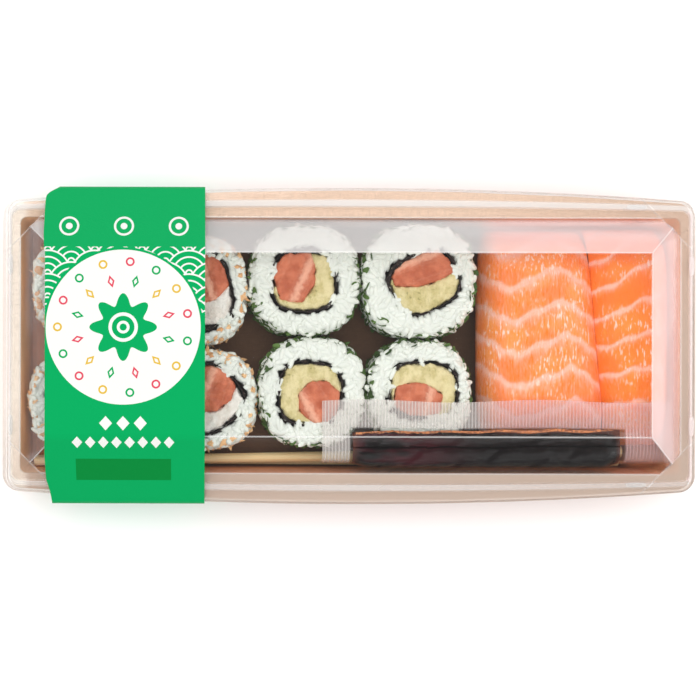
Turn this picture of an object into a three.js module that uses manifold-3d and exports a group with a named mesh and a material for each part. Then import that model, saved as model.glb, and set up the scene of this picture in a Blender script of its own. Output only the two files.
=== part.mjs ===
// A takeaway sushi tray: a kraft board tray under a clear lid with a raised panel, a paper band
// round both, and the meal inside. Four rolls coated in herbs, four in fried onion, two salmon
// nigiri, a sachet of soy sauce and a pair of chopsticks.
//
// Millimetres. +X runs along the tray, +Y to its back wall and +Z up. The tray stands on Z = 0,
// and the origin is the middle of its underside.

import * as THREE from "three";
import { mergeVertices } from "three/addons/utils/BufferGeometryUtils.js";
import Module from "manifold-3d";

const wasm = await Module();
wasm.setup();

// ---- Driving dimensions ----------------------------------------------------------------------

const GAP = 0.3; // clearance between pieces that rest on each other

// The tray. Sizes across are half sizes.
const MOUTH = { x: 108.9, y: 42.25, r: 2 };
const WALL_LEAN = 1.7; // how far a wall leans in from mouth to floor
const BOARD = 0.8;
const FLOOR_Z = 1.9;
const RIM_Z = 29.3;
const RIM = { x: 112.2, y: 46.9, r: 3.6, bow: 4.3 };
const FLOOR_R = 2.2;
const FOOT_RADIUS = 1.4; // rounding of the outer bottom edge

// The lid.
const FILM = 0.4;
const LAND_Z = RIM_Z + GAP + FILM;
const PANEL_Z = 42.4;
const SLOPE_RUN = 12.4;
const FOOT_FILLET = 0.35;
const CHAMFER = 6.8; // each leg of the cut corner at the foot of the slopes
const BEAD_Z = LAND_Z + 1.4;
// The lid's rim, ring by ring from the bead out to the lip of the skirt.
const BEAD = {
  innerFoot: { x: 111.3, y: 44.2, r: 2.4, bow: 1.2 },
  innerTop: { x: 111.7, y: 44.6, r: 2.7, bow: 1.3 },
  outerTop: { x: 112.3, y: 46, r: 3.2, bow: 1.8 },
  outerFoot: { x: 112.7, y: 46.4, r: 3.5, bow: 1.9 },
};
const SKIRT = {
  top: { x: 113.2, y: 47.7, r: 4.2, bow: 4.3 },
  bottom: { x: 114.3, y: 47.9, r: 4.7, bow: 4.4 },
  lip: { x: 115.1, y: 48.1, r: 5.2, bow: 4.5 },
};
const SKIRT_Z = 24.8;
const LIP_DROP = 0.3; // how far the lip slopes down from the skirt
const NUB = { long: 7, wide: 1.8, high: 0.6, alongX: 93.8, alongY: 26.4 };

// The paper band: a taut loop, so its section is the outline that a string round the pack takes.
const BAND = { x0: -101, x1: -48, paper: 0.4, fold: 0.8 };
const CHANNEL_DEPTH = BAND.paper + GAP; // in the tray's underside, so that the band lies flush

// The food.
const ROLL_HEIGHT = 27.2;
const GRAIN = 0.9; // how deep the dimples between rice grains are
const NORI = { thin: 0.6, thick: 1.5 };
const CRUMB = { perQuarter: 2, herb: [1.9, 0.7, 1.5], onion: [1.7, 1.2, 1.3] };
const STICK = { x0: -106, length: 200, butt: 2.35, tip: 1.75, height: 4.7, y: -38.45 };
const UPPER_STICK = { y: -37.2, turn: 1.1 }; // turned in degrees, its tip towards the front wall
const SACHET = { x0: -9.3, x1: 106, leftSeal: 9.2, rightSeal: 16, film: 0.5, fillRun: 7 };
// The sachet's upper edge rises over the nigiri and waves, and its right end sags beside them.
// Both fade out over a stretch of the way down the sheet.
const SACHET_LIFT = { by: 1.5, starts: [46, 58], ends: [96, 106], fades: [5, 16] };
const SACHET_WAVE = { by: 0.5, rate: 0.11, fades: [3, 12] };
const SACHET_SAG = { by: 1.1, starts: [98, 106] };

// ---- Materials -------------------------------------------------------------------------------

const finish = (color, roughness) =>
  new THREE.MeshStandardMaterial({ color, roughness, metalness: 0 });
const clear = (color, roughness, opacity) =>
  new THREE.MeshStandardMaterial({
    color,
    roughness,
    metalness: 0,
    transparent: true,
    opacity,
  });

const KRAFT = finish(0xc08a62, 0.8);
const CLEAR_LID = clear(0xf4f6f6, 0.08, 0.3);
const BAND_PAPER = finish(0x00ac60, 0.6);
const RICE = finish(0xe8eae2, 0.55);
const NORI_SHEET = finish(0x2b2a26, 0.6);
const SALMON = finish(0xf08a55, 0.3);
const ROLL_SALMON = finish(0xd27e66, 0.4);
const AVOCADO = finish(0xd6cd8c, 0.5);
const CREAM_CHEESE = finish(0xf2ece2, 0.5);
const SOY = finish(0x241a1a, 0.15);
const BAMBOO = finish(0xe6c48e, 0.6);

// ---- Geometry helpers ------------------------------------------------------------------------

/** A repeatable number from 0 to 1 for three whole numbers. */
function dice(i, j, seed) {
  const s = Math.sin(i * 127.1 + j * 311.7 + seed * 74.7) * 43758.5453;
  return s - Math.floor(s);
}

/** 0 below a, 1 above b, and a smooth step between. */
function smooth(a, b, v) {
  const t = Math.min(Math.max((v - a) / (b - a), 0), 1);
  return t * t * (3 - 2 * t);
}

/** An indexed geometry from points and triangles. */
function geometryOf(points, triangles) {
  const geometry = new THREE.BufferGeometry().setFromPoints(points);
  geometry.setIndex(triangles.flat());
  return geometry;
}

/**
 * Joins rings of points, all of one count, into a skin. Each ring goes anticlockwise seen from
 * above, and the rings go from the top outwards and down. With `loop` the last ring meets the
 * first; otherwise both ends are capped.
 */
function skin(rings, loop = false) {
  const count = rings[0].length;
  const triangles = [];
  const strips = loop ? rings.length : rings.length - 1;
  for (let r = 0; r < strips; r++) {
    const upper = r * count;
    const lower = ((r + 1) % rings.length) * count;
    for (let i = 0; i < count; i++) {
      const next = (i + 1) % count;
      triangles.push([upper + i, lower + i, lower + next]);
      triangles.push([upper + i, lower + next, upper + next]);
    }
  }
  if (!loop) {
    const last = (rings.length - 1) * count;
    for (const [a, b, c] of THREE.ShapeUtils.triangulateShape(rings[0], [])) {
      triangles.push([a, b, c]);
    }
    for (const [a, b, c] of THREE.ShapeUtils.triangulateShape(rings.at(-1), [])) {
      triangles.push([last + c, last + b, last + a]);
    }
  }
  return geometryOf(rings.flat(), triangles);
}

/** A closed geometry as a solid that can be joined and cut. */
function solidOf(geometry) {
  const bare = geometry.clone();
  bare.deleteAttribute("normal");
  bare.deleteAttribute("uv");
  const merged = mergeVertices(bare, 1e-4);
  return new wasm.Manifold(
    new wasm.Mesh({
      numProp: 3,
      vertProperties: new Float32Array(merged.attributes.position.array),
      triVerts: new Uint32Array(merged.index.array),
    }),
  );
}

/** The largest body of a solid, without the slivers that a cut can leave. */
function largestOf(solid) {
  const bodies = solid.decompose();
  return bodies.reduce((best, body) => (body.volume() > best.volume() ? body : best));
}

/** A solid back as a geometry. */
function geometryFrom(solid) {
  const mesh = solid.getMesh();
  const geometry = new THREE.BufferGeometry();
  geometry.setAttribute("position", new THREE.BufferAttribute(mesh.vertProperties, 3));
  geometry.setIndex(new THREE.BufferAttribute(mesh.triVerts, 1));
  return geometry;
}

/** A named mesh with smooth normals. */
function piece(name, geometry, material) {
  geometry.computeVertexNormals();
  const mesh = new THREE.Mesh(geometry, material);
  mesh.name = name;
  return mesh;
}

/** An upright prism over a flat outline, from z0 to z1. */
function prism(outline, z0, z1) {
  const geometry = new THREE.ExtrudeGeometry(new THREE.Shape(outline), {
    depth: z1 - z0,
    bevelEnabled: false,
  });
  return geometry.translate(0, 0, z0);
}

// ---- Tray, lid and band ----------------------------------------------------------------------

const CORNER_STEPS = 4;
const SIDE_STEPS = 6;
const CORNERS = [
  [1, 1],
  [-1, 1],
  [-1, -1],
  [1, -1],
];

/**
 * One ring of the pack's walls: a rectangle of half sizes x and y at height z with corners of
 * radius r, whose long sides bow outwards by `bow` in the middle. With `chamfer` the corners are
 * cut straight instead, and `rise` lifts the middle of each cut, as where two slopes meet.
 */
function wallRing({ x, y, z, r = 0, bow = 0, chamfer = 0, rise = 0 }) {
  const bowed = (px, py) => {
    const share = 1 - Math.min(Math.abs(px) / x, 1) ** 2;
    return new THREE.Vector3(px, py + Math.sign(py) * bow * share, z);
  };
  const points = [];
  CORNERS.forEach(([sx, sy], quarter) => {
    for (let k = 0; k <= CORNER_STEPS; k++) {
      const t = k / CORNER_STEPS;
      if (chamfer) {
        const towardsSide = quarter % 2 === 0 ? t : 1 - t;
        const px = sx * (x - chamfer * towardsSide);
        const py = sy * (y - chamfer * (1 - towardsSide));
        points.push(new THREE.Vector3(px, py, z + rise * Math.min(t, 1 - t) * 2));
      } else {
        const turn = ((quarter + t) * Math.PI) / 2;
        points.push(bowed(sx * (x - r) + r * Math.cos(turn), sy * (y - r) + r * Math.sin(turn)));
      }
    }
    if (quarter % 2 === 0) {
      const from = sx * (x - (chamfer || r));
      for (let k = 1; k < SIDE_STEPS; k++) {
        points.push(bowed(from * (1 - (2 * k) / SIDE_STEPS), sy * y));
      }
    }
  });
  return points;
}

/** A ring with its half sizes grown, at a height of its own. */
function grownRing(ring, by, z) {
  return { ...ring, x: ring.x + by, y: ring.y + by, z };
}

/** How far from the middle a bowed ring's long side lies, at a place along the tray. */
function sideAt(ring, x) {
  return ring.y + ring.bow * (1 - (x / ring.x) ** 2);
}

/** The kraft tray, with a channel across its underside for the band. */
function makeTray() {
  const inner = { x: MOUTH.x - WALL_LEAN, y: MOUTH.y - WALL_LEAN, r: FLOOR_R };
  const rings = [
    grownRing(inner, -FOOT_RADIUS, FLOOR_Z),
    grownRing(inner, 0, FLOOR_Z + FOOT_RADIUS),
    { ...MOUTH, z: RIM_Z },
    { ...RIM, z: RIM_Z },
    { ...RIM, z: RIM_Z - BOARD },
    grownRing(MOUTH, BOARD, RIM_Z - BOARD),
    grownRing(inner, BOARD, FOOT_RADIUS),
    grownRing(inner, BOARD - FOOT_RADIUS, 0),
  ];
  const width = BAND.x1 - BAND.x0 + 2 * GAP;
  const channel = new THREE.BoxGeometry(width, 4 * MOUTH.y, 2 * CHANNEL_DEPTH);
  channel.translate((BAND.x0 + BAND.x1) / 2, 0, 0);
  const solid = solidOf(skin(rings.map(wallRing))).subtract(solidOf(channel));
  return piece("tray", geometryFrom(solid), KRAFT);
}

/** The lid's rings on one side of its film, from the raised panel out to the lip. */
function lidRings(under) {
  const t = under ? FILM : 0;
  const slant = t * (Math.SQRT2 - 1); // where two faces at 45 degrees meet inside the film
  const foot = grownRing(MOUTH, -slant, LAND_Z - t);
  return [
    { ...grownRing(foot, -SLOPE_RUN, PANEL_Z - t), r: 2 * FILM },
    {
      ...grownRing(foot, -FOOT_FILLET, LAND_Z - t + FOOT_FILLET),
      chamfer: CHAMFER,
      rise: CHAMFER / 2,
    },
    { ...foot, chamfer: CHAMFER },
    grownRing(BEAD.innerFoot, t, LAND_Z - t),
    grownRing(BEAD.innerTop, t / 2, BEAD_Z - t),
    grownRing(BEAD.outerTop, -t / 2, BEAD_Z - t),
    grownRing(BEAD.outerFoot, -t, LAND_Z - t),
    grownRing(SKIRT.top, -t, LAND_Z - t),
    grownRing(SKIRT.bottom, -t, SKIRT_Z - t / 2),
    { ...SKIRT.lip, z: SKIRT_Z - LIP_DROP - t },
  ];
}

/** A nub seen from above: an oblong with cut corners. */
function nubOutline() {
  const cut = NUB.wide * 0.3;
  const [x, y] = [NUB.long / 2, NUB.wide / 2];
  const quarter = [
    [x, y - cut],
    [x - cut, y],
  ];
  const mirrored = (sx, sy) => quarter.map(([px, py]) => new THREE.Vector2(sx * px, sy * py));
  return [
    ...mirrored(1, 1),
    ...mirrored(-1, 1).reverse(),
    ...mirrored(-1, -1),
    ...mirrored(1, -1).reverse(),
  ];
}

/** The clear lid, with the eight small nubs that clip it to the tray's rim. */
function makeLid() {
  const outside = lidRings(false);
  const inside = lidRings(true).reverse();
  let solid = solidOf(skin([...outside, ...inside].map(wallRing)));
  const places = [
    { x: NUB.alongX, y: sideAt(BEAD.innerTop, NUB.alongX) + NUB.wide / 3, turn: 0 },
    { x: (BEAD.innerTop.x + BEAD.outerTop.x) / 2, y: NUB.alongY, turn: Math.PI / 2 },
  ];
  for (const { x, y, turn } of places) {
    for (const [sx, sy] of CORNERS) {
      const nub = prism(nubOutline(), BEAD_Z - FILM / 2, BEAD_Z + NUB.high).rotateZ(turn);
      solid = solid.add(solidOf(nub.translate(sx * x, sy * y, 0)));
    }
  }
  return piece("lid", geometryFrom(solid), CLEAR_LID);
}

/** A convex outline, given anticlockwise, with every edge moved outwards by `by`. */
function grownOutline(points, by) {
  return points.map((corner, i) => {
    const before = points.at(i - 1);
    const after = points[(i + 1) % points.length];
    const inward = corner.clone().sub(before).normalize();
    const outward = after.clone().sub(corner).normalize();
    const n1 = new THREE.Vector2(inward.y, -inward.x);
    const n2 = new THREE.Vector2(outward.y, -outward.x);
    const bisector = n1.add(n2).normalize();
    return corner.clone().addScaledVector(bisector, by / bisector.dot(n2));
  });
}

/** The paper band, taut over the lid's panel and rim and under the tray. */
function makeBand() {
  const { fold, paper } = BAND;
  const foot = MOUTH.y - WALL_LEAN + BOARD;
  const lip = sideAt(SKIRT.lip, BAND.x1) + GAP;
  const shoulder = sideAt(SKIRT.top, BAND.x1);
  const panel = MOUTH.y - SLOPE_RUN;
  const half = [
    [foot, paper],
    [foot + fold, paper + fold / 2],
    [lip, SKIRT_Z - 1.5 * fold],
    [lip, SKIRT_Z],
    [shoulder + 2 * GAP, LAND_Z - fold / 2],
    [shoulder, LAND_Z + fold],
    [panel + fold, PANEL_Z + GAP - fold / 2],
    [panel - fold, PANEL_Z + GAP],
  ];
  const right = half.map(([y, z]) => new THREE.Vector2(y, z));
  const left = half.map(([y, z]) => new THREE.Vector2(-y, z)).reverse();
  const inside = [...right, ...left];
  const shape = new THREE.Shape(grownOutline(inside, paper));
  shape.holes.push(new THREE.Path(inside));
  const loop = new THREE.ExtrudeGeometry(shape, {
    depth: BAND.x1 - BAND.x0,
    bevelEnabled: false,
  });
  const upright = new THREE.Matrix4().makeBasis(
    new THREE.Vector3(0, 1, 0),
    new THREE.Vector3(0, 0, 1),
    new THREE.Vector3(1, 0, 0),
  );
  loop.applyMatrix4(upright);
  return piece("band", loop.translate(BAND.x0, 0, 0), BAND_PAPER);
}

// ---- Rolls -----------------------------------------------------------------------------------

const Coat = { herbs: "herbs", onion: "onion" };

// Each roll: its middle, half sizes and how square it is; the nori's outline round the filling;
// and the salmon strip in it. The rest of the filling is avocado or cream cheese.
const ROLLS = [
  {
    name: "herb_roll_1",
    coat: Coat.herbs,
    at: [-15, 21.9],
    half: [18.4, 18.3],
    core: { x: -0.4, y: -0.6, a: 9.8, b: 9.2, turn: 0 },
    salmon: { x: -3.2, y: 1.3, a: 6.4, b: 8.6, turn: -8 },
  },
  {
    name: "herb_roll_2",
    coat: Coat.herbs,
    at: [22.9, 21.5],
    half: [19, 18.9],
    core: { x: 1.7, y: -0.4, a: 10.4, b: 8.8, turn: 28 },
    salmon: { x: 0.6, y: 4.6, a: 10.2, b: 6, turn: 14 },
  },
  {
    name: "herb_roll_3",
    coat: Coat.herbs,
    at: [-12.3, -15.2],
    half: [17.7, 18.1],
    core: { x: -0.7, y: -0.7, a: 9.7, b: 9.5, turn: -4 },
    salmon: { x: 2.2, y: -3.4, a: 6.6, b: 6.6, turn: 3 },
  },
  {
    name: "herb_roll_4",
    coat: Coat.herbs,
    at: [23.2, -15.6],
    half: [17.3, 17.6],
    core: { x: 1.2, y: 1, a: 10.4, b: 8.4, turn: -3 },
    salmon: { x: -0.8, y: -2.4, a: 7.6, b: 5.4, turn: -8 },
  },
  {
    name: "onion_roll_1",
    coat: Coat.onion,
    at: [-51.2, 18.2],
    half: [17.2, 18.3],
    core: { x: 1.8, y: 0, a: 9.2, b: 11.6, turn: 14 },
    salmon: { x: 1.8, y: 3.6, a: 8.8, b: 7.6, turn: 14 },
  },
  {
    name: "onion_roll_2",
    coat: Coat.onion,
    at: [-47.9, -17.9],
    half: [17.2, 16.6],
    core: { x: 1, y: 0.2, a: 9.8, b: 9.6, turn: 40 },
    salmon: { x: 1.8, y: 3.6, a: 8.4, b: 7, turn: 38 },
  },
  {
    name: "onion_roll_3",
    coat: Coat.onion,
    at: [-88, 19.5],
    half: [17.3, 17.9],
    core: { x: -0.6, y: 0.4, a: 9.6, b: 10.4, turn: -16 },
    salmon: { x: 1.4, y: 3.8, a: 8.6, b: 7, turn: -12 },
  },
  {
    name: "onion_roll_4",
    coat: Coat.onion,
    at: [-89, -18.2],
    half: [17.3, 16.9],
    core: { x: 0.8, y: -0.2, a: 10, b: 9.4, turn: 24 },
    salmon: { x: -2.4, y: 1.8, a: 6.6, b: 8.8, turn: 20 },
  },
];

const ROLL_SIDES = 30;
const CORE_SIDES = 16;
const ROLL_SQUARE = 2.5; // 2 is a round outline, more is squarer
const CORE_SQUARE = 3.4;

/** How far a rounded square of half sizes a and b reaches in one direction. */
function squareReach(a, b, square, angle) {
  const c = Math.abs(Math.cos(angle) / a) ** square;
  const s = Math.abs(Math.sin(angle) / b) ** square;
  return (c + s) ** (-1 / square);
}

/** The filling's outline, moved out by `out` millimetres, a number or a rule on the angle. */
function coreOutline(core, sides, out) {
  return Array.from({ length: sides }, (_, i) => {
    const angle = (i / sides) * 2 * Math.PI;
    const more = typeof out === "number" ? out : out(angle);
    const turned = angle - THREE.MathUtils.degToRad(core.turn);
    const reach = squareReach(core.a, core.b, CORE_SQUARE, turned) + more;
    return new THREE.Vector2(core.x + reach * Math.cos(angle), core.y + reach * Math.sin(angle));
  });
}

/** How thick the nori is in one direction: it doubles over where its ends meet. */
function noriAt(angle, seed) {
  const wave = Math.cos(angle - seed) * 0.6 + Math.cos(3 * angle + seed * 2) * 0.4;
  return NORI.thin + (NORI.thick - NORI.thin) * Math.max(wave, 0);
}

/** The rice of one roll: a ring with dimples of grain size, its hole round the nori. */
function riceRing(roll, seed) {
  const hole = coreOutline(roll.core, ROLL_SIDES, (angle) => noriAt(angle, seed) + 2 * GAP);
  const rim = (i, inset) => {
    const angle = (i / ROLL_SIDES) * 2 * Math.PI;
    const reach = squareReach(roll.half[0], roll.half[1], ROLL_SQUARE, angle) - inset;
    return new THREE.Vector2(reach * Math.cos(angle), reach * Math.sin(angle));
  };
  const ringOf = (place, z) =>
    Array.from({ length: ROLL_SIDES }, (_, i) => {
      const p = place(i);
      return new THREE.Vector3(p.x, p.y, z(i));
    });
  const level = (z) => () => z;
  const grain = (row) => (i) => dice(i, row, seed);
  const topRow = (share, row) =>
    ringOf(
      (i) => hole[i].clone().lerp(rim(i, 1), share),
      (i) => ROLL_HEIGHT - GRAIN * 0.8 * grain(row)(i),
    );
  const sideRow = (share, inset, row) =>
    ringOf((i) => rim(i, inset + GRAIN * grain(row)(i)), level(share * ROLL_HEIGHT));
  const rings = [
    ringOf((i) => hole[i], level(0)),
    ringOf((i) => hole[i], level(ROLL_HEIGHT - 0.3)),
    topRow(0.34, 1),
    topRow(0.7, 2),
    sideRow(0.98, 0.9, 3),
    sideRow(0.9, 0, 4),
    sideRow(0.68, 0, 5),
    sideRow(0.44, 0, 6),
    sideRow(0.2, 0.2, 7),
    sideRow(0, 1.2, 8),
  ];
  return solidOf(skin(rings, true));
}

/**
 * The crumbs that show on a roll's side, as flakes sunk into the rice. They sit only at the
 * roll's four quarters, where a neighbour leaves room.
 */
function crumbsOf(roll, seed) {
  const size = roll.coat === Coat.herbs ? CRUMB.herb : CRUMB.onion;
  const crumbs = [];
  for (let n = 0; n < 4 * CRUMB.perQuarter; n++) {
    const quarter = Math.floor(n / CRUMB.perQuarter);
    const sweep = (n % CRUMB.perQuarter) - 0.5 + (dice(n, 1, seed) - 0.5) * 0.5;
    const angle = ((quarter + 0.5) * Math.PI) / 2 + sweep * 0.4;
    const reach = squareReach(roll.half[0], roll.half[1], ROLL_SQUARE, angle) - 0.35;
    const crumb = new THREE.OctahedronGeometry(1, 0);
    crumb.scale(...size);
    crumb.rotateX(dice(n, 2, seed) * Math.PI);
    crumb.rotateZ(angle + Math.PI / 2);
    const z = ROLL_HEIGHT * (0.93 - 0.3 * dice(n, 3, seed));
    crumb.translate(reach * Math.cos(angle), reach * Math.sin(angle), z);
    crumbs.push(solidOf(crumb));
  }
  return crumbs;
}

/** One roll as a group: rice, nori, salmon and the soft part of its filling. */
function makeRoll(roll, seed) {
  const top = ROLL_HEIGHT;
  let rice = riceRing(roll, seed);
  for (const crumb of crumbsOf(roll, seed)) rice = rice.add(crumb);

  const sheet = new THREE.Shape(
    coreOutline(roll.core, CORE_SIDES, (angle) => noriAt(angle, seed) + GAP),
  );
  sheet.holes.push(new THREE.Path(coreOutline(roll.core, CORE_SIDES, GAP)));
  const nori = new THREE.ExtrudeGeometry(sheet, { depth: top + 0.1, bevelEnabled: false });

  const { x, y, a, b, turn } = roll.salmon;
  const stripOutline = (out) =>
    Array.from({ length: 8 }, (_, i) => {
      const angle = ((i + 0.5) / 8) * 2 * Math.PI;
      const reach = squareReach(a + out, b + out, 6, angle);
      const corner = new THREE.Vector2(reach * Math.cos(angle), reach * Math.sin(angle));
      return corner.rotateAround(new THREE.Vector2(), THREE.MathUtils.degToRad(turn));
    }).map((corner) => corner.add(new THREE.Vector2(x, y)));
  const core = coreOutline(roll.core, CORE_SIDES, 0);
  const salmon = solidOf(prism(core, 0, top - 0.3)).intersect(
    solidOf(prism(stripOutline(0), -1, top + 1)),
  );
  const soft = solidOf(prism(core, 0, top - 0.6)).subtract(
    solidOf(prism(stripOutline(GAP), -1, top + 1)),
  );
  const isHerb = roll.coat === Coat.herbs;

  const group = new THREE.Group();
  group.position.set(roll.at[0], roll.at[1], FLOOR_Z + GAP);
  group.add(
    piece(`${roll.name}_rice`, geometryFrom(rice), RICE),
    piece(`${roll.name}_nori`, nori, NORI_SHEET),
    piece(`${roll.name}_salmon`, geometryFrom(salmon), ROLL_SALMON),
    isHerb
      ? piece(`${roll.name}_avocado`, geometryFrom(largestOf(soft)), AVOCADO)
      : piece(`${roll.name}_cheese`, geometryFrom(largestOf(soft)), CREAM_CHEESE),
  );
  return group;
}

// ---- Nigiri ----------------------------------------------------------------------------------

// Each slice of salmon: its middle, half length, half width at the back and at the front, and how
// far its front end lies to the right of its back end. The other one props it up on the side
// that inner gives.
const NIGIRI = [
  { name: "nigiri_1", at: [60.8, 3.2], long: 36, back: 17.6, front: 20.9, drift: 3.3, inner: 1 },
  { name: "nigiri_2", at: [93.2, 3.4], long: 36.4, back: 14.45, front: 11.15, drift: 3.3, inner: -1 },
];
const SLICE = { top: 31.4, thick: 5.2, edgeThick: 2.2, sideDrop: 15, innerDrop: 6.5, endDrop: 17 };
const SLICE_ACROSS = 8;
const SLICE_ALONG = 10;
const RICE_SIDES = 26;
const RICE_UNDER_SLICE = 0.9;

/** How far the slice of a nigiri has dropped from its top, u across and v along, each -1 to 1. */
function sliceDrop(nigiri, u, v) {
  const propped = u * nigiri.inner > 0;
  const side = propped ? SLICE.innerDrop * Math.abs(u) ** 3.2 : SLICE.sideDrop * Math.abs(u) ** 4.6;
  return Math.hypot(side, SLICE.endDrop * Math.abs(v) ** 5);
}

/** Where a slice's u, v lies seen from above: wider or narrower to the front. */
function slicePlace(nigiri, u, v) {
  const half = THREE.MathUtils.mapLinear(v, -1, 1, nigiri.front, nigiri.back);
  const drift = (nigiri.drift * (1 - v)) / 2;
  return new THREE.Vector2(u * half + drift, v * nigiri.long);
}

/** A grid of points over u and v, each -1 to 1, as rows. */
function gridOf(columns, rows, place) {
  return Array.from({ length: rows + 1 }, (_, j) =>
    Array.from({ length: columns + 1 }, (_, i) => place(i, j)),
  );
}

/** A closed sheet between an upper and a lower grid of points. */
function sheetBetween(upper, lower) {
  const rows = upper.length;
  const columns = upper[0].length;
  const points = [...upper.flat(), ...lower.flat()];
  const top = (i, j) => j * columns + i;
  const bottom = (i, j) => rows * columns + top(i, j);
  const triangles = [];
  for (let j = 0; j < rows - 1; j++) {
    for (let i = 0; i < columns - 1; i++) {
      const corners = [
        [i, j],
        [i + 1, j],
        [i + 1, j + 1],
        [i, j + 1],
      ];
      const [a, b, c, d] = corners.map(([p, q]) => top(p, q));
      const [e, f, g, h] = corners.map(([p, q]) => bottom(p, q));
      triangles.push([a, b, c], [a, c, d], [e, g, f], [e, h, g]);
    }
  }
  const edge = [];
  for (let i = 0; i < columns - 1; i++) edge.push([i, 0]);
  for (let j = 0; j < rows - 1; j++) edge.push([columns - 1, j]);
  for (let i = columns - 1; i > 0; i--) edge.push([i, rows - 1]);
  for (let j = rows - 1; j > 0; j--) edge.push([0, j]);
  edge.forEach(([i, j], n) => {
    const [p, q] = edge[(n + 1) % edge.length];
    triangles.push([top(i, j), bottom(i, j), bottom(p, q)]);
    triangles.push([top(i, j), bottom(p, q), top(p, q)]);
  });
  return geometryOf(points, triangles);
}

/** The slice of salmon on a nigiri, bent down at its sides and ends. */
function makeSlice(nigiri) {
  const place = (lower) => (i, j) => {
    const u = -1 + (2 * i) / SLICE_ACROSS;
    const v = -1 + (2 * j) / SLICE_ALONG;
    const rounded = u * (1 - 0.2 * Math.abs(v) ** 6);
    const p = slicePlace(nigiri, rounded, v);
    const edge = Math.max(Math.abs(u), Math.abs(v)) ** 3;
    const thick = THREE.MathUtils.lerp(SLICE.thick, SLICE.edgeThick, edge);
    const inset = lower ? 1 - 0.05 * edge : 1;
    const z = SLICE.top - sliceDrop(nigiri, u, v) - (lower ? thick : 0);
    return new THREE.Vector3(p.x * inset, p.y * inset, z);
  };
  const upper = gridOf(SLICE_ACROSS, SLICE_ALONG, place(false));
  const lower = gridOf(SLICE_ACROSS, SLICE_ALONG, place(true));
  return piece(`${nigiri.name}_salmon`, sheetBetween(upper, lower), SALMON);
}

/** The pressed rice of a nigiri: a loaf with dimples of grain size, kept under the slice. */
function makeNigiriRice(nigiri, seed) {
  const floor = FLOOR_Z + GAP;
  const row = (reach, height, n) =>
    Array.from({ length: RICE_SIDES }, (_, i) => {
      const angle = (i / RICE_SIDES) * 2 * Math.PI;
      const out = squareReach(1, 1, 3.2, angle) * reach;
      const dimple = 1 - 0.035 * dice(i, n, seed);
      const u = Math.cos(angle) * out * dimple;
      const v = Math.sin(angle) * out * dimple;
      const p = slicePlace(nigiri, u, v);
      const roof = SLICE.top - SLICE.thick - RICE_UNDER_SLICE - sliceDrop(nigiri, u, v);
      const z = Math.min(floor + height, roof);
      return new THREE.Vector3(p.x, p.y, Math.max(z, floor));
    });
  const rings = [
    row(0.26, 40, 1),
    row(0.5, 40, 2),
    row(0.7, 17.5, 3),
    row(0.8, 11.5, 4),
    row(0.83, 5.5, 5),
    row(0.78, 0, 6),
  ];
  return piece(`${nigiri.name}_rice`, skin(rings), RICE);
}

/** One nigiri as a group. */
function makeNigiri(nigiri, seed) {
  const group = new THREE.Group();
  group.position.set(nigiri.at[0], nigiri.at[1], 0);
  group.add(makeNigiriRice(nigiri, seed), makeSlice(nigiri));
  return group;
}

// ---- Sachet and chopsticks -------------------------------------------------------------------

// The sachet's middle sheet from its upper edge to its lower: how far down the sheet, then its
// place across the tray, its height and its thickness. It lies over the rolls and hangs into
// the gap in front of them.
const SACHET_ROUTE = [
  { s: 0, y: -18.2, z: 30.6, thick: 0 },
  { s: 5, y: -23.1, z: 30.5, thick: 0 },
  { s: 9.5, y: -27.6, z: 30.6, thick: 0.3 },
  { s: 13, y: -31, z: 32, thick: 3.2 },
  { s: 16.8, y: -34.8, z: 32.2, thick: 3.9 },
  { s: 20, y: -37.4, z: 30.4, thick: 4 },
  { s: 23, y: -38.4, z: 27.6, thick: 3.6 },
  { s: 27, y: -38.5, z: 23.6, thick: 2.4 },
  { s: 31, y: -38.5, z: 19.6, thick: 0 },
  { s: 35, y: -38.6, z: 15.6, thick: 0 },
];
const SACHET_COLUMNS = 14;

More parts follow.
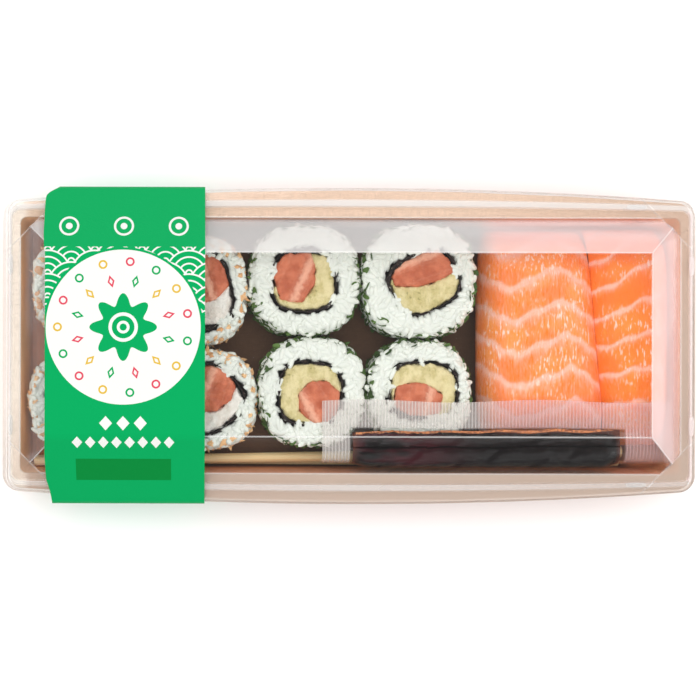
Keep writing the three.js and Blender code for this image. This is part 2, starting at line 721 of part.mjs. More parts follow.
/** The sachet as one closed solid: a pillow between flat seals. */
function makeSachet() {
  const { x0, x1, leftSeal, rightSeal, film, fillRun } = SACHET;
  const stations = [0, leftSeal * 0.6, leftSeal];
  const pouchEnd = x1 - x0 - rightSeal;
  const pouchSteps = SACHET_COLUMNS - 4;
  for (let i = 1; i <= pouchSteps; i++) {
    stations.push(leftSeal + ((pouchEnd - leftSeal) * i) / pouchSteps);
  }
  stations.push(pouchEnd + rightSeal * 0.55, x1 - x0);
  const onTray = (rowIndex, place) => {
    const row = SACHET_ROUTE[rowIndex];
    const x = place + x0;
    const overNigiri = smooth(...SACHET_LIFT.starts, x) * (1 - smooth(...SACHET_LIFT.ends, x));
    const raised = SACHET_LIFT.by * overNigiri * (1 - smooth(...SACHET_LIFT.fades, row.s));
    const sag = SACHET_SAG.by * smooth(...SACHET_SAG.starts, x);
    const wave = SACHET_WAVE.by * Math.sin(place * SACHET_WAVE.rate);
    const waved = wave * (1 - smooth(...SACHET_WAVE.fades, row.s));
    return new THREE.Vector2(row.y + waved, row.z + raised - sag);
  };
  const normalAt = (rowIndex, place) => {
    const before = onTray(Math.max(rowIndex - 1, 0), place);
    const after = onTray(Math.min(rowIndex + 1, SACHET_ROUTE.length - 1), place);
    const run = after.sub(before).normalize();
    return new THREE.Vector2(run.y, -run.x);
  };
  const pointOn = (side) => (i, j) => {
    const place = stations[i];
    const rowIndex = SACHET_ROUTE.length - 1 - j;
    const full = smooth(leftSeal * 0.9, leftSeal + fillRun, place);
    const body = full * (1 - smooth(pouchEnd - fillRun, pouchEnd, place));
    const half = (film + SACHET_ROUTE[rowIndex].thick * body) / 2;
    const at = onTray(rowIndex, place).addScaledVector(normalAt(rowIndex, place), side * half);
    return new THREE.Vector3(x0 + place, at.x, at.y);
  };
  const rows = SACHET_ROUTE.length - 1;
  const upper = gridOf(stations.length - 1, rows, pointOn(1));
  const lower = gridOf(stations.length - 1, rows, pointOn(-1));
  return piece("soy_sachet", sheetBetween(upper, lower), SOY);
}

/** One bamboo stick, tapering to its tip on the left. */
function makeStick(name, y, z, turn) {
  const stick = new THREE.CylinderGeometry(STICK.butt, STICK.tip, STICK.length, 8, 1);
  stick.rotateY(Math.PI / 8);
  stick.rotateZ(-Math.PI / 2);
  const flat = Math.cos(Math.PI / 8);
  stick.scale(1, 0.84 / flat, STICK.height / (2 * STICK.butt * flat));
  stick.rotateZ(THREE.MathUtils.degToRad(turn));
  const mesh = piece(name, stick, BAMBOO);
  mesh.position.set(STICK.x0 + STICK.length / 2, y, z);
  return mesh;
}

/** The pair of sticks, one over the other in the gap in front of the rolls. */
function makeSticks() {
  const lowest = FLOOR_Z + GAP + STICK.height / 2;
  return [
    makeStick("chopstick_1", STICK.y, lowest, 0),
    makeStick("chopstick_2", UPPER_STICK.y, lowest + STICK.height + GAP, UPPER_STICK.turn),
  ];
}

// ---- The whole pack --------------------------------------------------------------------------

const pack = new THREE.Group();
pack.add(makeTray(), makeLid(), makeBand());
ROLLS.forEach((roll, i) => pack.add(makeRoll(roll, i + 1)));
NIGIRI.forEach((nigiri, i) => pack.add(makeNigiri(nigiri, i + 21)));
pack.add(makeSachet(), ...makeSticks());

export default pack;
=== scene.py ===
"""A takeaway sushi tray under a clear lid: eight cut rolls, two salmon nigiri, a sachet of soy
sauce and a pair of chopsticks, held shut by a printed paper band.

Sizes are in millimetres and places are in the frame's own axes: +X along the tray, +Y to its
back wall and +Z up. Every piece is modelled in millimetres and delivered in metres.
"""

import logging
import math
from collections.abc import Callable, Iterator
from contextlib import contextmanager
from dataclasses import dataclass, field
from enum import Enum
from typing import Any

import bmesh
import bpy
import numpy as np
from mathutils import Matrix, Vector

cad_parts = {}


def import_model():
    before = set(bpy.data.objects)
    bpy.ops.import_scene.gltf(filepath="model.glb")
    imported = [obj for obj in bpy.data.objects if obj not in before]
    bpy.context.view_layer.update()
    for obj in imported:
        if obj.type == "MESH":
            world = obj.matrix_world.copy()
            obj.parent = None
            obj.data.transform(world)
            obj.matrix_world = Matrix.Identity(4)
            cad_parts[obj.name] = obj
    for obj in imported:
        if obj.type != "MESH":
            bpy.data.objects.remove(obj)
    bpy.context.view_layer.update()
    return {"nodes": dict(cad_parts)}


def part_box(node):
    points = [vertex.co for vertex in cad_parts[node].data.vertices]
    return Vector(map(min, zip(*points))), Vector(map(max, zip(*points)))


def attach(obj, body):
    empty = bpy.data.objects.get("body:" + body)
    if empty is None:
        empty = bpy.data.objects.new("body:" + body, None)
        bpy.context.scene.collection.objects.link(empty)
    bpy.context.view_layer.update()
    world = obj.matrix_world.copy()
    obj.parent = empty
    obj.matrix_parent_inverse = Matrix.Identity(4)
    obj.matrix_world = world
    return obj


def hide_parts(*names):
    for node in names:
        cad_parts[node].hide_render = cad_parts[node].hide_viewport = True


LOG = logging.getLogger("sushi_tray")
MM = 0.001
BODY = "root"

Colour = tuple[float, float, float, float]
Pair = tuple[float, float]
Piece = bpy.types.Object
Array = np.ndarray
Arrays = tuple[Array, Array]
Rule = Callable[[Array], Array]
Test = Callable[[Any], bool]


def paint(red: int, green: int, blue: int) -> Colour:
    """A screen colour as the linear colour that a shader takes.

    Args:
        red: Its red, 0 to 255.
        green: Its green.
        blue: Its blue.

    Returns:
        The linear colour.
    """
    shares = (value / 255 for value in (red, green, blue))
    linear = (s / 12.92 if s <= 0.04045 else ((s + 0.055) / 1.055) ** 2.4 for s in shares)
    return (*linear, 1.0)


# ---- Materials ------------------------------------------------------------------------------


class Tap:
    """One value in a material. Python's operators on it add the nodes of the sum."""

    def __init__(self, board: "Board", socket: bpy.types.NodeSocket) -> None:
        """Wraps the output that the value comes from."""
        self.board = board
        self.socket = socket

    def maths(self, operation: str, *values: "Tap | float") -> "Tap":
        """A Math node on this value and others, in their order."""
        return self.board.maths(operation, self, *values)

    def __add__(self, other: "Tap | float") -> "Tap":
        """The sum of both."""
        return self.maths("ADD", other)

    def __sub__(self, other: "Tap | float") -> "Tap":
        """This less the other."""
        return self.maths("SUBTRACT", other)

    def __mul__(self, other: "Tap | float") -> "Tap":
        """The product of both."""
        return self.maths("MULTIPLY", other)

    def __truediv__(self, other: "Tap | float") -> "Tap":
        """This over the other."""
        return self.maths("DIVIDE", other)

    def __pow__(self, power: float) -> "Tap":
        """This to a power."""
        return self.maths("POWER", power)

    def __mod__(self, step: float) -> "Tap":
        """What is left of this after whole steps, never below 0."""
        return self.maths("FLOORED_MODULO", step)

    def __gt__(self, other: "Tap | float") -> "Tap":
        """1 where this is the larger, else 0."""
        return self.maths("GREATER_THAN", other)

    def __lt__(self, other: "Tap | float") -> "Tap":
        """1 where this is the smaller, else 0."""
        return self.maths("LESS_THAN", other)

    def __radd__(self, other: float) -> "Tap":
        """A number plus this."""
        return self.board.maths("ADD", other, self)

    def __rsub__(self, other: float) -> "Tap":
        """A number less this."""
        return self.board.maths("SUBTRACT", other, self)

    def __rmul__(self, other: float) -> "Tap":
        """A number times this."""
        return self.board.maths("MULTIPLY", other, self)

    def __abs__(self) -> "Tap":
        """The size of this, whatever its sign."""
        return self.maths("ABSOLUTE")

    def step(self, start: float, end: float) -> "Tap":
        """A smooth step from 0 at start to 1 at end.

        Args:
            start: Where the step starts.
            end: Where it ends, which may be lower than the start.

        Returns:
            The step as a value from 0 to 1.
        """
        low, high = min(start, end), max(start, end)
        outs = (0.0, 1.0) if start <= end else (1.0, 0.0)
        inputs = {0: self, 1: low, 2: high, 3: outs[0], 4: outs[1]}
        return self.board.node("MapRange", {"interpolation_type": "SMOOTHSTEP"}, inputs)


class Board:
    """The node tree of a material, or of the sky."""

    def __init__(self, owner: bpy.types.Material | bpy.types.World) -> None:
        """Empties the owner's tree.

        Args:
            owner: The material or world.
        """
        owner.use_nodes = True
        self.tree = owner.node_tree
        self.tree.nodes.clear()

    def node(
        self,
        kind: str,
        settings: dict[str, Any] | None = None,
        inputs: dict[str | int, Any] | None = None,
        output: str | int = 0,
    ) -> Tap:
        """Adds one node.

        Args:
            kind: The node's type, without the prefix that all share.
            settings: Its own settings, such as a sum's operation.
            inputs: A value or a Tap for each socket, by name or number.
            output: The socket that is handed back.

        Returns:
            That output.
        """
        node = self.tree.nodes.new(f"ShaderNode{kind}")
        for key, value in (settings or {}).items():
            setattr(node, key, value)
        for key, value in (inputs or {}).items():
            if isinstance(value, Tap):
                self.tree.links.new(value.socket, node.inputs[key])
            else:
                node.inputs[key].default_value = value
        return Tap(self, node.outputs[output])

    def maths(self, operation: str, *values: Tap | float) -> Tap:
        """A Math node on values in their order."""
        return self.node("Math", {"operation": operation}, dict(enumerate(values)))

    def mix(self, share: Tap | float, first: Any, second: Any) -> Tap:
        """A colour between two, the second where the share is 1."""
        inputs = {0: share, 6: first, 7: second}
        return self.node("Mix", {"data_type": "RGBA"}, inputs, 2)

    def place(self) -> tuple[Tap, Tap, Tap, Tap]:
        """The place on the piece in millimetres.

        Returns:
            The place as a vector, and its x, y and z.
        """
        point = self.node("TexCoord", output="Object")
        scaled = self.node("VectorMath", {"operation": "SCALE"}, {0: point, "Scale": 1 / MM})
        parts = [self.node("SeparateXYZ", inputs={0: scaled}, output=i) for i in range(3)]
        return scaled, parts[0], parts[1], parts[2]

    def stretched(self, vector: Tap, x: float, y: float, z: float) -> Tap:
        """A vector with each of its parts multiplied, to draw a pattern out."""
        return self.node("VectorMath", {"operation": "MULTIPLY"}, {0: vector, 1: (x, y, z)})

    def noise(self, vector: Tap, scale: float, detail: float = 2.0, rough: float = 0.5) -> Tap:
        """Cloudy noise of 0 to 1, with `scale` clouds for each millimetre."""
        inputs = {"Vector": vector, "Scale": scale, "Detail": detail, "Roughness": rough}
        return self.node("TexNoise", inputs=inputs)

    def cells(self, vector: Tap, scale: float) -> Tap:
        """The distance to the middle of the nearest of many scattered cells."""
        return self.node("TexVoronoi", inputs={"Vector": vector, "Scale": scale})

    def own(self, name: str) -> Tap:
        """A number that the piece's mesh carries under a name."""
        return self.node("Attribute", {"attribute_name": name}, output="Fac")

    def bump(self, height: Tap, depth: float, strength: float = 1.0) -> Tap:
        """A normal for relief of a depth in millimetres."""
        inputs = {"Strength": strength, "Distance": depth * MM, "Height": height}
        return self.node("Bump", inputs=inputs, output="Normal")

    def gloss(self, rough: float, normal: Tap) -> Tap:
        """A clear mirror layer of a roughness, with relief."""
        inputs = {"Color": (1, 1, 1, 1), "Roughness": rough, "Normal": normal}
        return self.node("BsdfAnisotropic", inputs=inputs)

    def matt(self, tint: Colour) -> Tap:
        """A matt layer, as haze or mist on something clear is."""
        return self.node("BsdfDiffuse", inputs={"Color": tint})

    def clear(self, tint: Colour) -> Tap:
        """A layer that light passes straight through."""
        return self.node("BsdfTransparent", inputs={"Color": tint})

    def sheen_at_edges(self, facing_on: float) -> Tap:
        """How much a clear sheet mirrors: `facing_on` seen square, and all of it edge on."""
        facing = self.node("LayerWeight", inputs={"Blend": 0.5}, output="Facing")
        return facing**5.0 * (1 - facing_on) + facing_on

    def blend(self, share: Tap | float, first: Tap, second: Tap) -> Tap:
        """A shader between two, the second where the share is 1."""
        return self.node("MixShader", inputs={0: share, 1: first, 2: second})

    def principled(self, **inputs: Any) -> Tap:
        """The main shader, its sockets named with underscores for spaces."""
        named = {key.replace("_", " "): value for key, value in inputs.items()}
        return self.node("BsdfPrincipled", inputs=named)

    def close(self, surface: Tap, kind: str = "OutputMaterial") -> None:
        """Links the finished surface to an output of a kind."""
        output = self.tree.nodes.new(f"ShaderNode{kind}")
        self.tree.links.new(surface.socket, output.inputs["Surface"])


@dataclass(frozen=True)
class Finish:
    """A finish of the pack's own, which fills a material once and is then shared."""

    name: str

    def surface(self, board: Board) -> Tap:
        """The finish's shader. Each finish has its own."""
        raise NotImplementedError

    def material(self) -> bpy.types.Material:
        """Makes the material when it is first asked for.

        Returns:
            The material of this finish.
        """
        material = bpy.data.materials.get(self.name)
        if not material:
            material = bpy.data.materials.new(self.name)
            board = Board(material)
            board.close(self.surface(board))
        return material


@dataclass(frozen=True)
class KraftBoard(Finish):
    """Brown board with short fibres, its tones by place partly painted light and shade."""

    # Painted light and shade by place: the rim paler than the walls, partly as pressed board and
    # partly as painted light;
    # the front rim darker as painted shade, and the left rim lighter as painted light.
    rim: Colour = paint(236, 206, 184)
    front_rim_painted_shade: Colour = paint(204, 174, 155)
    left_rim_painted_light: Colour = paint(255, 242, 230)
    wall: Colour = paint(216, 142, 100)
    # The end walls lighter, as painted light.
    end_wall_painted_light: Colour = paint(255, 200, 152)
    # The floor darker than the walls, as painted shade.
    floor: Colour = paint(106, 78, 60)
    fleck: Colour = paint(120, 78, 52)
    worn: Colour = (0.86, 0.84, 0.82, 1)
    fresh: Colour = (1.06, 1.05, 1.04, 1)
    # Where one tone gives way to the next, along, across and up the tray.
    to_rim: Pair = (28.2, 29.0)
    to_front_painted_shade: Pair = (20.0, -30.0)
    to_left_painted_light: Pair = (-105.0, -108.5)
    to_end_wall_painted_light: Pair = (99.0, 105.0)
    floor_ends_painted_light: Pair = (94.0, 101.0)
    to_wall: Pair = (3.0, 14.0)

    def surface(self, board: Board) -> Tap:
        """Two sets of crossed fibres over the board's tones.

        Args:
            board: The tree.

        Returns:
            The shader.
        """
        spot, x, y, z = board.place()
        fibres = board.noise(board.stretched(spot, 0.35, 2.4, 1.2), 1.0, 4.0, 0.6)
        across = board.noise(board.stretched(spot, 2.2, 0.4, 1.6), 1.0, 4.0, 0.6)
        flecks = board.cells(spot, 0.55).step(0.16, 0.05)
        tone = (fibres + across) * 0.5
        # Painted light on the end walls and the floor's ends, and painted shade on the floor.
        wall = board.mix(abs(x).step(*self.to_end_wall_painted_light), self.wall, self.end_wall_painted_light)
        floor = board.mix(abs(x).step(*self.floor_ends_painted_light), self.floor, self.wall)
        low = board.mix(z.step(*self.to_wall), floor, wall)
        # Painted shade on the front rim and painted light on the left rim; the rim is paler partly
        # as painted light.
        rim = board.mix(y.step(*self.to_front_painted_shade), self.rim, self.front_rim_painted_shade)
        rim = board.mix(x.step(*self.to_left_painted_light), rim, self.left_rim_painted_light)
        base = board.mix(z.step(*self.to_rim), low, rim)
        shade = board.mix(tone.step(0.35, 0.65), self.worn, self.fresh)
        toned = board.node(
            "Mix", {"data_type": "RGBA", "blend_type": "MULTIPLY"}, {0: 1.0, 6: base, 7: shade}, 2
        )
        return board.principled(
            Base_Color=board.mix(flecks * 0.28, toned, self.fleck),
            Roughness=tone * 0.25 + 0.5,
            Normal=board.bump(tone + flecks * 0.3, 0.12),
        )


@dataclass(frozen=True)
class ClearSheet(Finish):
    """Clear formed plastic; its slopes, bead, folds and skirt carry painted light and shade."""

    clear: Colour = (0.985, 0.99, 0.988, 1)
    # A matt white for the faint haze and for the painted sheen on the bead and the folds.
    haze_and_sheen: Colour = (0.84, 0.825, 0.815, 1)
    # A matt tan for painted shade on the skirt.
    shaded_tan: Colour = (0.6, 0.47, 0.39, 1)
    # Matt tints of painted reflection on the slopes, pink over the salmon.
    bright: Colour = (0.78, 0.75, 0.74, 1)
    painted_rosy: Colour = (0.95, 0.74, 0.72, 1)
    mirrors: float = 0.04
    haze: float = 0.003
    # A painted sheen on the bead.
    bead_painted_sheen: float = 0.4
    bead_rises: Pair = (30.1, 30.5)
    bead_inside: Pair = (110.6, 43.6)
    # How much more painted sheen the bead gets each millimetre to the back, and loses to the ends.
    bead_sheen_across: float = 0.004
    bead_sheen_along: float = 0.0028
    panel: Pair = (96.5, 29.85)
    foot: Pair = (108.9, 42.25)
    # Painted reflection on the back and right slopes, a little on the left one, and pink over the
    # salmon.
    painted_reflection: float = 0.33
    left_painted_reflection: float = 0.06
    painted_rosy_from: Pair = (40, 48)
    # Painted shade on the skirt, darker towards the front and the right.
    skirt_painted_shade: float = 0.7
    skirt_top: float = 29.7
    skirt_shade_across: float = 0.012
    skirt_shade_along: float = 0.005
    corner: float = 144.35
    fold: float = 0.24
    # A painted highlight along the folds.
    fold_painted_highlight: float = 0.22

    def folded(self, x: Tap, y: Tap, z: Tap) -> Tap:
        """1 on the folds round the raised panel and its foot and down its corners: painted
        highlight.

        Args:
            x: The place along the pack.
            y: The place across it.
            z: The height.

        Returns:
            The mask.
        """
        over_x, over_y = abs(x) - self.panel[0], abs(y) - self.panel[1]
        over = over_x.maths("MAXIMUM", over_y)
        round_panel = abs(over) < self.fold
        round_foot = abs(over - (self.foot[0] - self.panel[0])) < self.fold
        corner_cut = abs(abs(x) + abs(y) - self.corner) < self.fold * 1.4
        ridge = (abs(over_x - over_y) < self.fold * 1.4) * (over_x > 0.0)
        within = (abs(x) + abs(y) < self.corner + 0.3) * (z > self.skirt_top + 0.05)
        return (round_panel + round_foot + corner_cut + ridge).maths("MINIMUM", 1.0) * within

    def painted_reflection_share(self, x: Tap, y: Tap, z: Tap) -> Tap:
        """Painted reflection on each slope: most on the back and right ones, less at their foot.

        Args:
            x: The place along the pack.
            y: The place across it.
            z: The height.

        Returns:
            The share of painted reflection.
        """
        over_x, over_y = abs(x) - self.panel[0], abs(y) - self.panel[1]
        on_long, on_end = (over_y > 0.0) * (over_y > over_x), (over_x > 0.0) * (over_x > over_y)
        back = on_long * (y > 0.0) * (self.foot[1] - y).step(0.0, 2.0)
        right = on_end * (x > 0.0) * ((self.foot[0] - x).step(0.0, 4.5) * 0.35 + 0.65)
        left = on_end * (x < 0.0) * (self.foot[0] + x).step(0.5, 6.0)
        raised = z > self.skirt_top + 0.5
        return ((back + right) * self.painted_reflection + left * self.left_painted_reflection) * raised

    def surface(self, board: Board) -> Tap:
        """Light passes straight through, but for the mirror, haze and painted light and shade.

        Args:
            board: The tree.

        Returns:
            The shader.
        """
        spot, x, y, z = board.place()
        drawn = board.noise(board.stretched(spot, 0.05, 0.16, 0.2), 1.0, 3.0)
        outside = (abs(y) > self.bead_inside[1]).maths("MAXIMUM", abs(x) > self.bead_inside[0])
        on_bead = z.step(*self.bead_rises) * outside
        # Painted sheen on the bead, more at the back and less at the ends, over a faint haze
        # everywhere.
        bead_sheen_share = y * self.bead_sheen_across - abs(x) * self.bead_sheen_along + 0.95
        haze_and_sheen = board.matt(self.haze_and_sheen)
        body = board.blend(
            on_bead * self.bead_painted_sheen * bead_sheen_share + self.haze,
            board.clear(self.clear),
            haze_and_sheen,
        )
        # Painted shade on the skirt, darker towards the front and the right.
        skirt_shade_share = x * self.skirt_shade_along - y * self.skirt_shade_across + 0.5
        skirt_shade_share = skirt_shade_share.maths("MAXIMUM", 0.15).maths("MINIMUM", 1.0)
        skirt = (z < self.skirt_top) * skirt_shade_share * self.skirt_painted_shade
        body = board.blend(skirt, body, board.matt(self.shaded_tan))
        # Painted reflection on the slopes, pink over the salmon.
        bright, painted_rosy = board.matt(self.bright), board.matt(self.painted_rosy)
        painted_reflection = board.blend(x.step(*self.painted_rosy_from), bright, painted_rosy)
        body = board.blend(self.painted_reflection_share(x, y, z), body, painted_reflection)
        # Painted highlights along the folds.
        body = board.blend(self.folded(x, y, z) * self.fold_painted_highlight, body, haze_and_sheen)
        mirror = board.gloss(0.06, board.bump(drawn, 0.15, 0.35))
        return board.blend(board.sheen_at_edges(self.mirrors), body, mirror)


@dataclass(frozen=True)
class SealedFilm(Finish):
    """The sachet's film: clear over the sauce, with a painted sheen where it is sealed in ribs."""

    clear: Colour = (0.98, 0.98, 0.98, 1)
    haze_and_sheen: Colour = (0.98, 0.9, 0.86, 1)
    painted_rosy: Colour = (1.0, 0.66, 0.66, 1)
    mirrors: float = 0.02
    rib: float = 1.1
    seal_painted_sheen: float = 0.18
    rib_painted_sheen: float = 0.16
    painted_rosy_from: Pair = (38, 52)

    def surface(self, board: Board) -> Tap:
        """Where the seals' sheen is painted is the mesh's own mark, because it follows the folds.

        Args:
            board: The tree.

        Returns:
            The shader.
        """
        spot, x, *_ = board.place()
        creases = board.noise(board.stretched(spot, 0.5, 0.12, 0.2), 1.0, 3.0)
        ribs = abs(x % self.rib - self.rib / 2).step(0.3, 0.08)
        # Painted sheen on the seals, brighter on their ribs, over a faint haze everywhere.
        haze = board.own("seal") * (ribs * self.rib_painted_sheen + self.seal_painted_sheen) + 0.001
        haze_and_sheen, painted_rosy = board.matt(self.haze_and_sheen), board.matt(self.painted_rosy)
        # Pinker over the salmon, as painted light from it.
        haze_and_sheen = board.blend(x.step(*self.painted_rosy_from), haze_and_sheen, painted_rosy)
        mirror = board.gloss(0.12, board.bump(creases, 0.5, 0.6))
        body = board.blend(haze, board.clear(self.clear), haze_and_sheen)
        return board.blend(board.sheen_at_edges(self.mirrors), body, mirror)


@dataclass(frozen=True)
class CookedRice(Finish):
    """Moist rice, each grain with a tone of its own."""

    deep: Colour = paint(220, 223, 213)
    light: Colour = paint(236, 238, 230)

    def surface(self, board: Board) -> Tap:
        """Milky grains with a little starch on them.

        Args:
            board: The tree.

        Returns:
            The shader.
        """
        spot, *_ = board.place()
        starch = board.noise(spot, 0.9, 3.0)
        tone = board.own("tint") * 0.5 + starch * 0.6
        return board.principled(
            Base_Color=board.mix(tone, self.deep, self.light),
            Roughness=starch * 0.3 + 0.4,
            Subsurface_Weight=0.15,
            Subsurface_Radius=(0.0008, 0.0008, 0.0007),
            Subsurface_Scale=1.0,
            Normal=board.bump(starch, 0.15, 0.5),
        )


@dataclass(frozen=True)
class Seaweed(Finish):
    """A moist sheet of pressed seaweed, purple where light shows through it."""

    dark: Colour = paint(30, 24, 22)
    purple: Colour = paint(84, 62, 62)
    starch: Colour = paint(206, 204, 190)
    starch_from: float = 27.6

    def surface(self, board: Board) -> Tap:
        """Blotches and a fine grain, with starch from the rice stuck along the upper edge.

        Args:
            board: The tree.

        Returns:
            The shader.
        """
        spot, _x, _y, z = board.place()
        blotches = board.noise(spot, 0.7, 4.0, 0.6)
        grain = board.noise(spot, 3.2, 3.0)
        stuck = (blotches * 0.7 + grain * 0.4).step(0.62, 0.74)
        stuck = stuck * z.step(self.starch_from, self.starch_from + 0.8)
        sheet = board.mix(grain.step(0.5, 0.75), self.dark, self.purple)
        return board.principled(
            Base_Color=board.mix(stuck * 0.6, sheet, self.starch),
            Roughness=grain * 0.3 + 0.5,
            Specular_IOR_Level=0.2,
            Normal=board.bump(grain, 0.25),
        )


@dataclass(frozen=True)
class SalmonSlice(Finish):
    """Raw salmon cut along the fillet: orange meat with feathered pale lines and painted glints."""

    meat: Colour = paint(254, 150, 66)
    deep: Colour = paint(252, 126, 44)
    fat: Colour = paint(254, 192, 172)
    # The colour of the painted glints.
    painted_glint: Colour = paint(255, 228, 218)
    # A deeper orange painted on the slice's falling edges and in the groove between slices: painted
    # shade.
    groove_shade: Colour = paint(244, 120, 44)

    def surface(self, board: Board) -> Tap:
        """The pale lines are the mesh's own, so that they lie in its furrows.

        Args:
            board: The tree.

        Returns:
            The shader.
        """
        spot, *_ = board.place()
        strands = board.noise(board.stretched(spot, 1.7, 0.34, 0.6), 1.0, 3.0, 0.6)
        short = board.noise(board.stretched(spot, 1.5, 0.36, 0.9), 1.0, 2.0, 0.5)
        clouds = board.noise(spot, 0.09, 2.0)
        fat, groove_shade = board.own("fat"), board.own("groove_shade")
        feathered = (fat + (strands - 0.5) * 1.2 * fat.step(0.04, 0.4)).step(0.1, 1.15) * 0.9
        # Painted glints: pale flecks where the noise peaks, none on the falling edges.
        specks_and_glints = short.step(0.54, 0.68) * clouds.step(0.34, 0.58) * 0.75
        meat = board.mix(clouds.step(0.3, 0.7), self.deep, self.meat)
        # Painted shade on the falling edges and in the groove.
        meat = board.mix(groove_shade * 0.6, meat, self.groove_shade)
        striped = board.mix(feathered, meat, self.fat)
        return board.principled(
            Base_Color=board.mix(specks_and_glints * (1 - groove_shade), striped, self.painted_glint),
            Roughness=strands * 0.2 + 0.2,
            Specular_IOR_Level=0.35,
            Coat_Weight=0.25,
            Coat_Roughness=0.15,
            Subsurface_Weight=0.15,
            Subsurface_Radius=(0.004, 0.0012, 0.0004),
            Subsurface_Scale=1.0,
            Normal=board.bump(strands + short * 0.6, 0.3, 0.7),
        )


@dataclass(frozen=True)
class SalmonCut(Finish):
    """The end of a strip of salmon in a roll, with one pale band across it."""

    meat: Colour = paint(208, 116, 82)
    deep: Colour = paint(182, 90, 58)
    fat: Colour = paint(238, 176, 148)

    def surface(self, board: Board) -> Tap:
        """The band runs across the strip, which carries the way across it.

        Args:
            board: The tree.

        Returns:
            The shader.
        """
        spot, *_ = board.place()
        rough = board.noise(spot, 0.8, 4.0, 0.6)
        clouds = board.noise(spot, 0.22, 2.0)
        across = board.own("across") + (rough - 0.5) * 3.0
        band = abs(across).step(2.1, 0.2)
        thin = abs(across % 4.4 - 2.2).step(0.5, 0.0) * 0.12
        specks_and_glints = board.noise(spot, 2.4, 2.0)
        pale = (band * 0.8 + thin + specks_and_glints.step(0.6, 0.75) * 0.25).maths("MINIMUM", 1.0)
        meat = board.mix(clouds.step(0.35, 0.65), self.deep, self.meat)
        return board.principled(
            Base_Color=board.mix(pale, meat, self.fat),
            Roughness=specks_and_glints * 0.25 + 0.3,
            Coat_Weight=0.1,
            Normal=board.bump(rough + band * 0.4, 0.4),
        )


@dataclass(frozen=True)
class SoftFilling(Finish):
    """Avocado or soft cheese: two tones smeared into each other."""

    light: Colour = paint(224, 209, 160)
    deep: Colour = paint(196, 181, 124)
    fleck: Colour = paint(112, 112, 52)

    def surface(self, board: Board) -> Tap:
        """Smears and a few darker bits, with small lumps in the relief.

        Args:
            board: The tree.

        Returns:
            The shader.
        """
        spot, *_ = board.place()
        smears = board.noise(board.stretched(spot, 0.32, 0.2, 0.2), 1.0, 3.0, 0.6)
        lumps = board.noise(spot, 1.3, 3.0)
        bits = (lumps * 0.6 + smears * 0.4).step(0.58, 0.68) * 0.7
        smeared = board.mix(smears.step(0.36, 0.66), self.light, self.deep)
        return board.principled(
            Base_Color=board.mix(bits, smeared, self.fleck),
            Roughness=lumps * 0.3 + 0.4,
            Normal=board.bump(lumps, 0.4),
        )


@dataclass(frozen=True)
class Flake(Finish):
    """Chopped herb or fried onion, each bit with a tone of its own."""

    dark: Colour = paint(34, 60, 22)
    light: Colour = paint(92, 122, 56)
    rough: float = 0.5

    def surface(self, board: Board) -> Tap:
        """The tone of the bit, broken up by fine noise.

        Args:
            board: The tree.

        Returns:
            The shader.
        """
        spot, *_ = board.place()
        grain = board.noise(spot, 1.8, 3.0)
        tone = board.own("tint") * 0.7 + grain * 0.4
        return board.principled(
            Base_Color=board.mix(tone, self.dark, self.light),
            Roughness=grain * 0.2 + self.rough,
            Normal=board.bump(grain, 0.2),
        )


@dataclass(frozen=True)
class SoySauce(Finish):
    """Dark sauce behind film, purple-brown where it is thin."""

    deep: Colour = paint(14, 8, 9)
    red: Colour = paint(62, 12, 22)
    thin: Colour = paint(96, 52, 40)

    def surface(self, board: Board) -> Tap:
        """Thin at the seals, deep in the middle of the pouch.

        Args:
            board: The tree.

        Returns:
            The shader.
        """
        spot, x, *_ = board.place()
        swirls = board.noise(board.stretched(spot, 0.06, 0.2, 0.2), 1.0, 3.0)
        thin = board.own("thin").maths("MULTIPLY", swirls + 0.4)
        sauce = board.mix(swirls.step(0.42, 0.6) * x.step(46, 14), self.deep, self.red)
        return board.principled(
            Base_Color=board.mix(thin.step(0.1, 0.9), sauce, self.thin),
            Specular_IOR_Level=0.1,
            Roughness=swirls * 0.1 + 0.14,
            Normal=board.bump(swirls, 0.3, 0.5),
        )


@dataclass(frozen=True)
class Froth(Finish):
    """The line of orange-brown froth along the top of the sauce."""

    dark: Colour = paint(120, 60, 34)
    light: Colour = paint(236, 146, 84)

    def surface(self, board: Board) -> Tap:
        """Small bubbles of two tones.

        Args:
            board: The tree.

        Returns:
            The shader.
        """
        spot, *_ = board.place()
        bubbles = board.cells(spot, 1.6)
        drift = board.noise(board.stretched(spot, 0.25, 1.2, 1.2), 1.0, 3.0)
        tone = (bubbles * 0.6 + drift * 0.6).step(0.4, 0.8)
        return board.principled(
            Base_Color=board.mix(tone, self.dark, self.light),
            Roughness=bubbles * 0.2 + 0.25,
            Normal=board.bump(bubbles, 0.3),
        )


@dataclass(frozen=True)
class Bamboo(Finish):
    """Pale bamboo with fine fibres along the stick."""

    light: Colour = paint(255, 234, 184)
    fibre: Colour = paint(255, 214, 150)

    def surface(self, board: Board) -> Tap:
        """Long thin fibres, which the relief follows.

        Args:
            board: The tree.

        Returns:
            The shader.
        """
        spot, *_ = board.place()
        fibres = board.noise(board.stretched(spot, 0.03, 2.6, 2.6), 1.0, 4.0, 0.65)
        return board.principled(
            Base_Color=board.mix(fibres.step(0.42, 0.72), self.light, self.fibre),
            Roughness=fibres * 0.2 + 0.45,
            Normal=board.bump(fibres, 0.12),
        )


